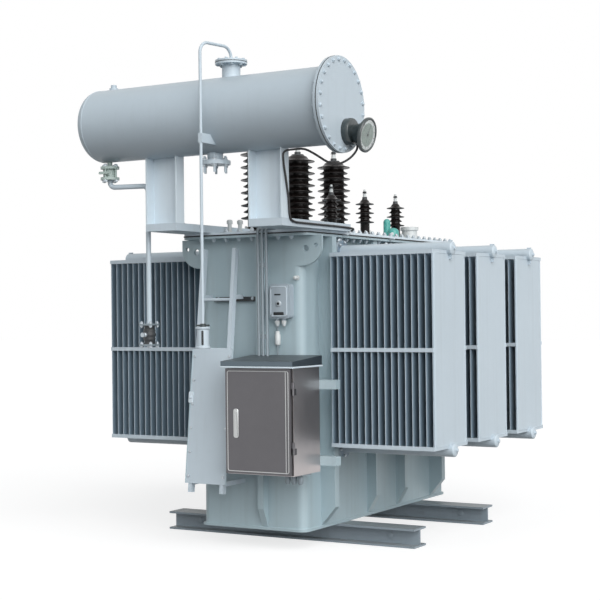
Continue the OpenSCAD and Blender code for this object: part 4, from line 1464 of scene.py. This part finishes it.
@dataclass
class TemperatureBox(Assembly):
    """Face and fittings of the temperature box on the end wall."""

    lid_in: float = 0.012
    frame_in: float = 0.014
    frame_bead: float = 0.0026
    frame_corner: float = 0.012
    window_w: float = 0.58
    window_h: float = 0.022
    window_z: float = -0.36
    dash_w: float = 0.36
    dash_h: float = 0.010
    dash_x: float = -0.008
    dash_z: float = 0.19
    dark_t: float = 0.002
    dark_edge: float = 0.0006
    knob: Profile = ((10.5, 0), (21, 0), (21, 4), (16.8, 7), (10.5, 7))
    knob_z: float = -0.07
    hub_r: float = 0.00945
    hub_t: float = 0.003
    hub_edge: float = 0.0008
    hub_out: float = 0.006
    screw: Bolt = Bolt(0.005, 0.003, 0.007, 0.001)
    gland_h: float = 0.046
    gland_y: float = -1.138
    gland_z: float = 0.014
    gland_shares: tuple[float, float] = (0.3, 0.62)
    gland_nut: Profile = ((18, 0), (18, 16), (16, 18))
    gland_tip: Profile = ((9, -20), (11, -18), (14, -6), (14, 0))
    lead_r: float = 0.0045
    lead_drop: float = 0.1
    lead_end: float = 0.004
    coupling_z: float = 1.426
    coupling: Profile = ((8, -52), (16, -48), (20, -40), (20, 20), (15, 28), (15, 42), (7, 46))
    pocket_at: Vector = (0.372, -1.110, 1.826)
    pocket: Profile = ((16, -4), (16, 6), (9, 8), (9, 24), (13, 26), (13, 36), (9, 41), (3, 43))

    def build(self) -> None:
        """Makes the lid's edge, window, knob and screws, and the glands, lead and pocket."""
        box = Box.of("terminal_box")
        foot = box.low[2] + self.gland_h
        width, height = box.size[0], box.high[2] - foot
        face = box.at(y=0) * (1, 1, 0) + (0, 0, foot + height / 2)
        self.build_lid(face, width, height)
        level = box.low[2] + self.gland_z
        spots = np.array([
            (box.at(x=share)[0], self.gland_y, level) for share in self.gland_shares])
        gland = joined(turned(mm(self.gland_nut), 6), turned(mm(self.gland_tip), 20))
        self.piece("box_glands", gland.at(spots), Look.PALE, Slot.PALE)
        exit_at = spots[0]
        roof = Box.of("cabinet_roof").high[2]
        end = (*exit_at[:2], roof - self.lead_end)
        route = np.array([exit_at, exit_at - (0, 0, self.lead_drop), end])
        lead = carried(circle(self.lead_r, 10), route, up=RIGHT)
        self.piece("box_lead", lead, Look.PIPE, Slot.PALE)
        coupling = turned(mm(self.coupling), 24).at((*exit_at[:2], self.coupling_z))
        self.piece("lead_coupling", coupling, Look.PALE, Slot.PALE)
        pocket = turned(mm(self.pocket), 28).at(self.pocket_at, FRONT)
        self.piece("wall_pocket", pocket, Look.PALE, Slot.TANK)

    def build_lid(self, face: Array, width: float, height: float) -> None:
        """Makes what shows on the lid.

        Args:
            face: Middle of the box's front.
            width: Width of the box.
            height: Height of the box over its glands.
        """
        lid_w, lid_h = width - 2 * self.lid_in, height - 2 * self.lid_in
        outline = rounded_outline(lid_w - self.frame_in, lid_h - self.frame_in, self.frame_corner)
        frame = ring_bead(raised(outline, 0.0), self.frame_bead).at(face, FRONT)
        # Painted highlight: the lid's frame takes the lighter copy of the paint.
        self.piece("box_frame", frame, Look.BRIGHT, Slot.PALE)
        knob_at = face + (0, 0, height * self.knob_z)
        thin = (self.dark_t, self.dark_edge)
        window = Plate(lid_w * self.window_w, self.window_h, 0.005, *thin).surface()
        dash = Plate(lid_w * self.dash_w, self.dash_h, 0.003, *thin).surface()
        hub = slab(circle(self.hub_r, 20), self.hub_t, self.hub_edge)
        dark = joined(window.at(face + (0, 0, height * self.window_z), FRONT),
                      dash.at(face + (self.dash_x, 0, height * self.dash_z), FRONT),
                      hub.at(knob_at - (0, self.hub_out, 0), FRONT))
        self.piece("box_window", dark, Look.RUBBER, Slot.CASTING)
        knob = turned(mm(self.knob), 36, ring=True).at(knob_at, FRONT)
        self.piece("box_knob", knob, Look.ZINC, Slot.PALE)
        x, z = lid_w / 2 - self.frame_in, lid_h / 2 - self.frame_in
        corners = np.array([face + (sx * x, 0, sz * z) for sx in (-1, 1) for sz in (-1, 1)])
        self.piece("box_screws", self.screw.surface().at(corners, FRONT), Look.ZINC, Slot.PALE)


@dataclass
class PipeFittings(Assembly):
    """Breather under the vent pipe and cock under the drain pipe."""

    jar_share: float = 0.85
    jar_neck_r: float = 0.016
    sight_w: float = 0.014
    sight_ends: float = 0.046
    sight_sunk: float = 0.0006
    sight_axis: Vector = (0.5, -0.866, 0.0)
    cross_z: float = 0.009
    cross_r: float = 0.006
    cross_share: float = 1.02
    collar: Profile = ((20, -12), (20, 8), (14, 12))
    plate_t: float = 0.012
    plate_corner: float = 0.010
    body_r: float = 0.034
    body_swell: float = 0.009
    body_rib: float = 0.003
    body_ribs: int = 4
    bolt_in: float = 0.017
    bolt: Bolt = Bolt(0.0115, 0.009, 0.013, 0.0025, 0.006, 0.005)
    knob: Profile = ((14, 0), (14, 18), (8, 22), (8, 34), (16, 36), (16, 44))
    knob_out: float = 0.036

    def build(self) -> None:
        """Makes both fittings."""
        self.build_breather()
        self.build_cock()

    def build_breather(self) -> None:
        """Makes the drying breather: a jar between two rolled caps, a sight strip and a cross bar.

        The jar is a profile turned about the pipe's axis, the same at its foot and at its head.
        """
        box = Box.of("breather")
        foot = box.at(z=0)
        radius, height = box.size[0] / 2, box.size[2]
        jar = radius * self.jar_share
        low = [(radius * 0.5, 0.0), (radius * 0.92, 0.0), (radius, 0.003), (radius, 0.011),
               (radius * 0.94, 0.014), (jar, 0.016)]
        high = [(jar, height - 0.016), (radius * 0.94, height - 0.014), (radius, height - 0.011),
                (radius, height - 0.004), (radius * 0.9, height), (self.jar_neck_r, height)]
        self.piece("breather_jar", turned(low + high, 48).at(foot), Look.CONSERVATOR, Slot.PALE,
                   replaces="breather")
        strip = Plate(self.sight_w, height - self.sight_ends, 0.006, 0.003, 0.0008).surface()
        middle = foot + np.array(self.sight_axis) * (jar - self.sight_sunk) + (0, 0, height / 2)
        self.piece("breather_sight", strip.at(middle, self.sight_axis), Look.RUBBER, Slot.CASTING)
        top = foot + (0, 0, height + self.cross_z)
        reach = radius * self.cross_share
        bars = [straight_bead(top - step, top + step, self.cross_r) for step in np.eye(3)[:2] * reach]
        cross = joined(*bars, turned(mm(self.collar), 28).at(top))
        self.piece("breather_cross", cross, Look.GAUGE, Slot.PALE)

    def build_cock(self) -> None:
        """Makes the drain cock: two square plates with bolts, and a ribbed body between them.

        The body is a profile turned about the pipe's axis whose radius swells between two necks.
        """
        box = Box.of("drain_cock")
        width, _, height = box.size
        foot, top = box.at(z=0), box.at(z=1)
        lift = np.array([0, 0, self.plate_t])
        rise = np.linspace(0, 1, 15)
        swell = self.body_swell * np.sin(math.pi * rise) ** 2
        radius = self.body_r + swell + self.body_rib * np.cos(self.body_ribs * FULL_TURN * rise)
        body = np.column_stack([radius, self.plate_t + rise * (height - 2 * self.plate_t)])
        self.piece("cock_body", turned(body, 40).at(foot), Look.CASTING, Slot.CASTING, crease=50.0,
                   replaces="drain_cock")
        plate = Plate(width, width, self.plate_corner, self.plate_t, steps=3).surface()
        plates = plate.at(np.array([foot, top - lift]))
        self.piece("cock_plates", plates, Look.PIPE, Slot.CONSERVATOR)
        spread = width / 2 - self.bolt_in
        corners = np.array([(sx * spread, sy * spread, 0) for sx in (-1, 1) for sy in (-1, 1)])
        rows = ((top, UP), (foot, DOWN), (top - lift, DOWN), (foot + lift, UP))
        frames = np.concatenate([frames_at(corners + place, axis) for place, axis in rows])
        self.piece("cock_bolts", self.bolt.surface().stamped(frames), Look.ZINC, Slot.CONSERVATOR)
        knob = turned(mm(self.knob), 20).at(box.at() - (0, self.knob_out, 0), FRONT)
        self.piece("cock_knob", knob, Look.ZINC, Slot.CONSERVATOR)


@dataclass
class CoverFittings(Assembly):
    """Small fittings on the cover: two thermometer pockets and the bell beside the tap post."""

    pockets: tuple[tuple[float, float], ...] = ((-0.215, -1.030), (-0.165, -0.975))
    pocket: Profile = ((27, 0), (27, 12), (14, 15), (14, 66), (21, 68), (21, 88), (14, 96), (8, 97))
    bell: tuple[float, float] = (0.352, 0.372)
    bell_foot: Profile = ((52, 0), (52, 10), (44, 13))
    bell_r: float = 0.043
    bell_low: float = 0.050
    bell_h: float = 0.034
    bell_opening: float = 0.15
    button: Profile = ((13, -4), (13, 6), (9, 9))
    button_axis: Vector = (0.26, -0.966, 0.0)
    button_z: float = 0.034

    def build(self) -> None:
        """Makes the pockets, and the bell with its button."""
        level = Box.of("tank_cover").high[2]
        pockets = turned(mm(self.pocket), 28).at(raised(np.array(self.pockets), level))
        self.piece("cover_pockets", pockets, Look.PALE, Slot.TANK)
        crown = quarter_dome(self.bell_r, self.bell_h, self.bell_opening) + (0, self.bell_low)
        seat = np.array([*self.bell, level])
        bell = turned(np.vstack([mm(self.bell_foot), crown]), 40).at(seat)
        self.piece("tap_bell", bell, Look.GREEN, Slot.GREEN)
        place = seat + np.array(self.button_axis) * self.bell_r + (0, 0, self.button_z)
        button = turned(mm(self.button), 20).at(place, self.button_axis)
        self.piece("tap_button", button, Look.PALE, Slot.PALE)


@dataclass
class LadderTrim(Assembly):
    """Bolts, edges and hasp of the climbing guard, and the tie of the ladder."""

    lean: float = 6.7
    foot: Vector = (-0.186, -1.410, 0.395)
    half_w: float = 0.160
    guard_low: float = 0.060
    guard_high: float = 0.965
    guard_t: float = 0.004
    bolt: Bolt = Bolt(0.009, 0.006, 0.012, 0.002)
    bolt_in: float = 0.022
    bolt_end: float = 0.050
    edge_r: float = 0.004
    rim_r: float = 0.0035
    hasp: Plate = Plate(0.034, 0.075, 0.006, 0.006)
    hasp_pin: Profile = ((10, 0), (10, 14), (7, 17))
    hasp_in: float = 0.006
    hasp_share: float = 0.66
    tie: Vector = (-0.118, -1.110, 1.690)
    tie_bar: Plate = Plate(0.330, 0.032, 0.004, 0.006, steps=2)
    tie_lip: Plate = Plate(0.330, 0.007, 0.003, 0.026, steps=2)
    lip_y: float = -0.0125
    tie_bolt: Vector = (0.1386, -0.006, 0.004)

    def place(self, x: float, along: Array | list, out: float) -> Array:
        """Points on the leaning ladder: across it, along it, and out of its front.

        Args:
            x: Distance across from the ladder's middle.
            along: Distances up along the ladder.
            out: Distance out of its front.

        Returns:
            Rows of (x, y, z).
        """
        lean = math.radians(self.lean)
        along = np.asarray(along, float)
        y = self.foot[1] + along * math.sin(lean) - out * math.cos(lean)
        z = self.foot[2] + along * math.cos(lean) + out * math.sin(lean)
        return np.column_stack([np.full(len(along), self.foot[0] + x), y, z])

    def build(self) -> None:
        """Makes the guard's bolts, folded edges and hasp, and the tie with its bolts."""
        lean = math.radians(self.lean)
        outward = (0.0, -math.cos(lean), math.sin(lean))
        bolt = self.bolt.surface()
        along = np.linspace(self.guard_low + self.bolt_end, self.guard_high - self.bolt_end, 6)
        reach = self.half_w - self.bolt_in
        left = self.place(-reach, along, self.guard_t)
        right = self.place(reach, along[[0, 2, 5]], self.guard_t)
        self.piece("guard_bolts", bolt.at(np.vstack([left, right]), outward), Look.ZINC, Slot.TANK)
        ends = np.linspace(self.guard_low, self.guard_high, 5)
        edge = self.place(-self.half_w, ends, self.guard_t)
        rim = self.place(self.half_w, ends, self.guard_t / 2)
        edges = joined(carried(circle(self.edge_r, BEAD_SIDES), edge, up=RIGHT),
                       carried(circle(self.rim_r, BEAD_SIDES), rim, up=RIGHT))
        self.piece("guard_edges", edges, Look.TANK, Slot.TANK)
        hasp = joined(self.hasp.surface(), turned(mm(self.hasp_pin), 20))
        height = self.guard_high * self.hasp_share
        spot = self.place(self.hasp_in - self.half_w, [height], self.guard_t)
        self.piece("guard_hasp", hasp.at(spot, outward), Look.BRIGHT, Slot.CASTING)
        # Painted shade: a dark tie bar stands where a band of shade crosses the wall behind the
        # ladder's arms.
        bar = joined(self.tie_bar.surface(), self.tie_lip.surface().at((0.0, self.lip_y, 0.0)))
        self.piece("ladder_tie", bar.at(self.tie, FRONT), Look.CASTING, Slot.CASTING)
        x, y, z = self.tie_bolt
        steps = np.array([(step * x, y, z) for step in (-1, 0, 1)])
        self.piece("tie_bolts", bolt.at(steps + self.tie, FRONT), Look.ZINC, Slot.CASTING)


@dataclass
class Seams(Assembly):
    """Weld beads of the tank, the legs and the skid beams, and the caps of the haulage holes."""

    bead: float = 0.0045
    wall_in: float = 0.012
    wall_corner: float = 0.060
    wall_h: float = 1.960
    leg_back: float = 0.045
    haul_x: float = 0.785
    haul_z: float = 0.065
    haul_cap: Profile = ((16.74, -10), (18.6, -8), (18.6, 6), (24.18, 7), (24.18, 10), (20.46, 12))

    def build(self) -> None:
        """Makes the beads and the caps."""
        floor = Box.of("tank_floor")
        left, right = floor.low[0], floor.high[0]
        x, y, level = floor.high - (self.wall_in, self.wall_in, 0)
        outline = rounded_outline(2 * x, 2 * y, self.wall_corner, 8)
        levels = (level, level + self.wall_h)
        beads = [ring_bead(raised(outline, z), self.bead) for z in levels]
        self.piece("tank_seams", joined(*beads), Look.TANK, Slot.TANK)
        skids = [Box.of(name) for name in ("skid_front", "skid_rear")]
        runs = [straight_bead((left, edge, skid.high[2]), (right, edge, skid.high[2]), self.bead)
                for skid in skids for edge in (skid.low[1], skid.high[1])]
        self.piece("skid_seams", joined(*runs), Look.SKID, Slot.SKID)
        spots = np.array([
            (side * self.haul_x, skid.at()[1], self.haul_z) for side in (-1, 1) for skid in skids])
        cap = turned(mm(self.haul_cap), 28)
        caps = joined(cap.at(spots, FRONT), cap.at(spots, BACK))
        self.piece("haulage_caps", caps, Look.SKID, Slot.SKID)
        runs = []
        for side in ("left", "right"):
            beam = Box.of(f"support_beam_{side}")
            edge = Box.of(f"conservator_leg_{side}").at()[1] + self.leg_back
            ends = [(x, edge, beam.high[2]) for x in (beam.low[0], beam.high[0])]
            runs.append(straight_bead(*ends, self.bead))
        self.piece("leg_seams", joined(*runs), Look.CONSERVATOR, Slot.CONSERVATOR)


# Stage


@dataclass(frozen=True)
class Lamp:
    """A soft far lamp: the side it stands on, its height and the angle it fills, in degrees."""

    name: str
    azimuth: float
    elevation: float
    strength: float
    spread: float

    def build(self) -> None:
        """Makes the lamp, which stands at its azimuth from the front towards +X."""
        data = bpy.data.lights.new(self.name, "SUN")
        data.energy = self.strength
        data.angle = math.radians(self.spread)
        turn = Matrix.Rotation(math.radians(self.azimuth), 4, "Z")
        tilt = Matrix.Rotation(QUARTER_TURN - math.radians(self.elevation), 4, "X")
        add_object(self.name, data).matrix_world = turn @ tilt


@dataclass
class Stage:
    """Camera, lamps, floor and backdrop."""

    eye: Vector = (5.093, -9.161, 1.591)
    azimuth: float = 30.29
    tilt: float = -0.53
    roll: float = -0.65
    lens: float = 83.91
    sensor: float = 36.0
    sight: float = 200.0
    lamps: tuple[Lamp, ...] = (
        Lamp("key", 56.0, 28.0, 3.1, 60.0),
        Lamp("fill", -8.0, 30.0, 0.5, 90.0),
    )
    sky: Colour = (0.95, 0.98, 1.0, 1.0)
    ambient: float = 0.26
    floor_reach: float = 60.0
    floor_drop: float = 0.0005
    floor_shown: Colour = (0.36, 0.36, 0.36, 1.0)
    floor_hidden: Colour = (0.22, 0.22, 0.22, 1.0)
    floor_glow: float = 0.74

    def camera(self) -> None:
        """Makes the camera from its place, its heading, its tilt and its roll."""
        azimuth, tilt, roll = (math.radians(v) for v in (self.azimuth, self.tilt, self.roll))
        level = np.array([math.cos(azimuth), math.sin(azimuth), 0.0])
        heading = np.array([-math.sin(azimuth), math.cos(azimuth), 0.0])
        ahead = heading * math.cos(tilt) - np.array(UP) * math.sin(tilt)
        over = np.cross(level, ahead)
        pose = np.eye(4)
        pose[:3, 0] = math.cos(roll) * level + math.sin(roll) * over
        pose[:3, 1] = math.cos(roll) * over - math.sin(roll) * level
        pose[:3, 2] = -ahead
        pose[:3, 3] = self.eye
        data = bpy.data.cameras.new("camera")
        data.sensor_width = self.sensor
        data.lens = self.lens
        data.clip_end = self.sight
        camera = add_object("camera", data)
        camera.matrix_world = Matrix(pose.tolist())
        bpy.context.scene.camera = camera

    @staticmethod
    def shown_or_lit(g: Graph, lit: bpy.types.Node, shown: bpy.types.Node) -> Socket:
        """One shader for the rays that show the backdrop, and another for those that only light.

        Args:
            g: The graph that holds both shaders.
            lit: Shader for diffuse light.
            shown: Shader for rays from the camera, off gloss and through glass.

        Returns:
            The shader that takes the right one.
        """
        path = g.add("LightPath").outputs
        direct = g.math("MAXIMUM", path["Is Camera Ray"], path["Is Glossy Ray"])
        seen = g.math("MAXIMUM", direct, path["Is Transmission Ray"])
        return g.add("MixShader", {0: seen, 1: lit.outputs[0], 2: shown.outputs[0]}).outputs[0]

    def world(self) -> None:
        """Makes a white backdrop over a soft grey light."""
        world = bpy.data.worlds.new("backdrop")
        world.use_nodes = True
        bpy.context.scene.world = world
        g = Graph(world.node_tree)
        light = g.add("Background", {"Color": self.sky, "Strength": self.ambient})
        white = g.add("Background", {"Color": WHITE, "Strength": 1.0})
        g.add("OutputWorld", {"Surface": self.shown_or_lit(g, light, white)})

    def floor(self) -> None:
        """Makes a pale floor that shows white and keeps the object's shadow."""
        corners = np.array([(-1, -1), (1, -1), (1, 1), (-1, 1)]) * self.floor_reach
        mesh = bpy.data.meshes.new("floor")
        mesh.from_pydata(raised(corners, -self.floor_drop).tolist(), [], [[0, 1, 2, 3]])
        material = bpy.data.materials.new("floor_white")
        material.use_nodes = True
        g = Graph(material.node_tree)
        shaded = g.add("BsdfDiffuse", {"Color": self.floor_shown})
        glow = g.add("Emission", {"Color": WHITE, "Strength": self.floor_glow})
        shown = g.add("AddShader", {0: shaded.outputs[0], 1: glow.outputs[0]})
        hidden = g.add("BsdfDiffuse", {"Color": self.floor_hidden})
        g.add("OutputMaterial", {"Surface": self.shown_or_lit(g, hidden, shown)})
        mesh.materials.append(material)
        add_object("floor", mesh)

    def build(self) -> None:
        """Sets the whole stage."""
        bpy.context.scene.view_settings.view_transform = "Standard"
        self.camera()
        for lamp in self.lamps:
            lamp.build()
        self.world()
        self.floor()


def main() -> None:
    """Loads the frame, builds every sub-assembly and sets the stage."""
    logging.basicConfig(level=logging.INFO)
    for leftover in list(bpy.data.objects):
        bpy.data.objects.remove(leftover)
    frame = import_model()
    Stage().build()
    effects = Effects()
    materials = {look: look.value.material(effects) for look in Look}
    dress(frame["nodes"], materials)
    tall = Bushing(
        materials, "hv", core=0.081, large=0.130, small=0.111, pitch=0.092, count=6, flange_r=0.115,
        flange_h=0.040, neck_h=0.098, stud=0.012, stud_h=0.072, bolts=8,
        bolt=Bolt(0.0135, 0.012, 0.0155, 0.022, 0.008, 0.018))
    short = Bushing(
        materials, "lv", core=0.034, large=0.068, small=0.050, pitch=0.067, count=3, flange_r=0.056,
        flange_h=0.024, neck_h=0.087, stud=0.009, stud_h=0.055, bolts=6,
        bolt=Bolt(0.0085, 0.008, 0.0095, 0.014, 0.005, 0.010))
    before = [kind(materials) for kind in (RimJoint, RadiatorBank, Conservator, LevelGauge)]
    trim = (Cabinet, TemperatureBox, PipeFittings, CoverFittings, LadderTrim, Seams)
    after = [kind(materials) for kind in trim]
    for assembly in (*before, tall, short, *after):
        assembly.build()


if __name__ == "__main__":
    main()
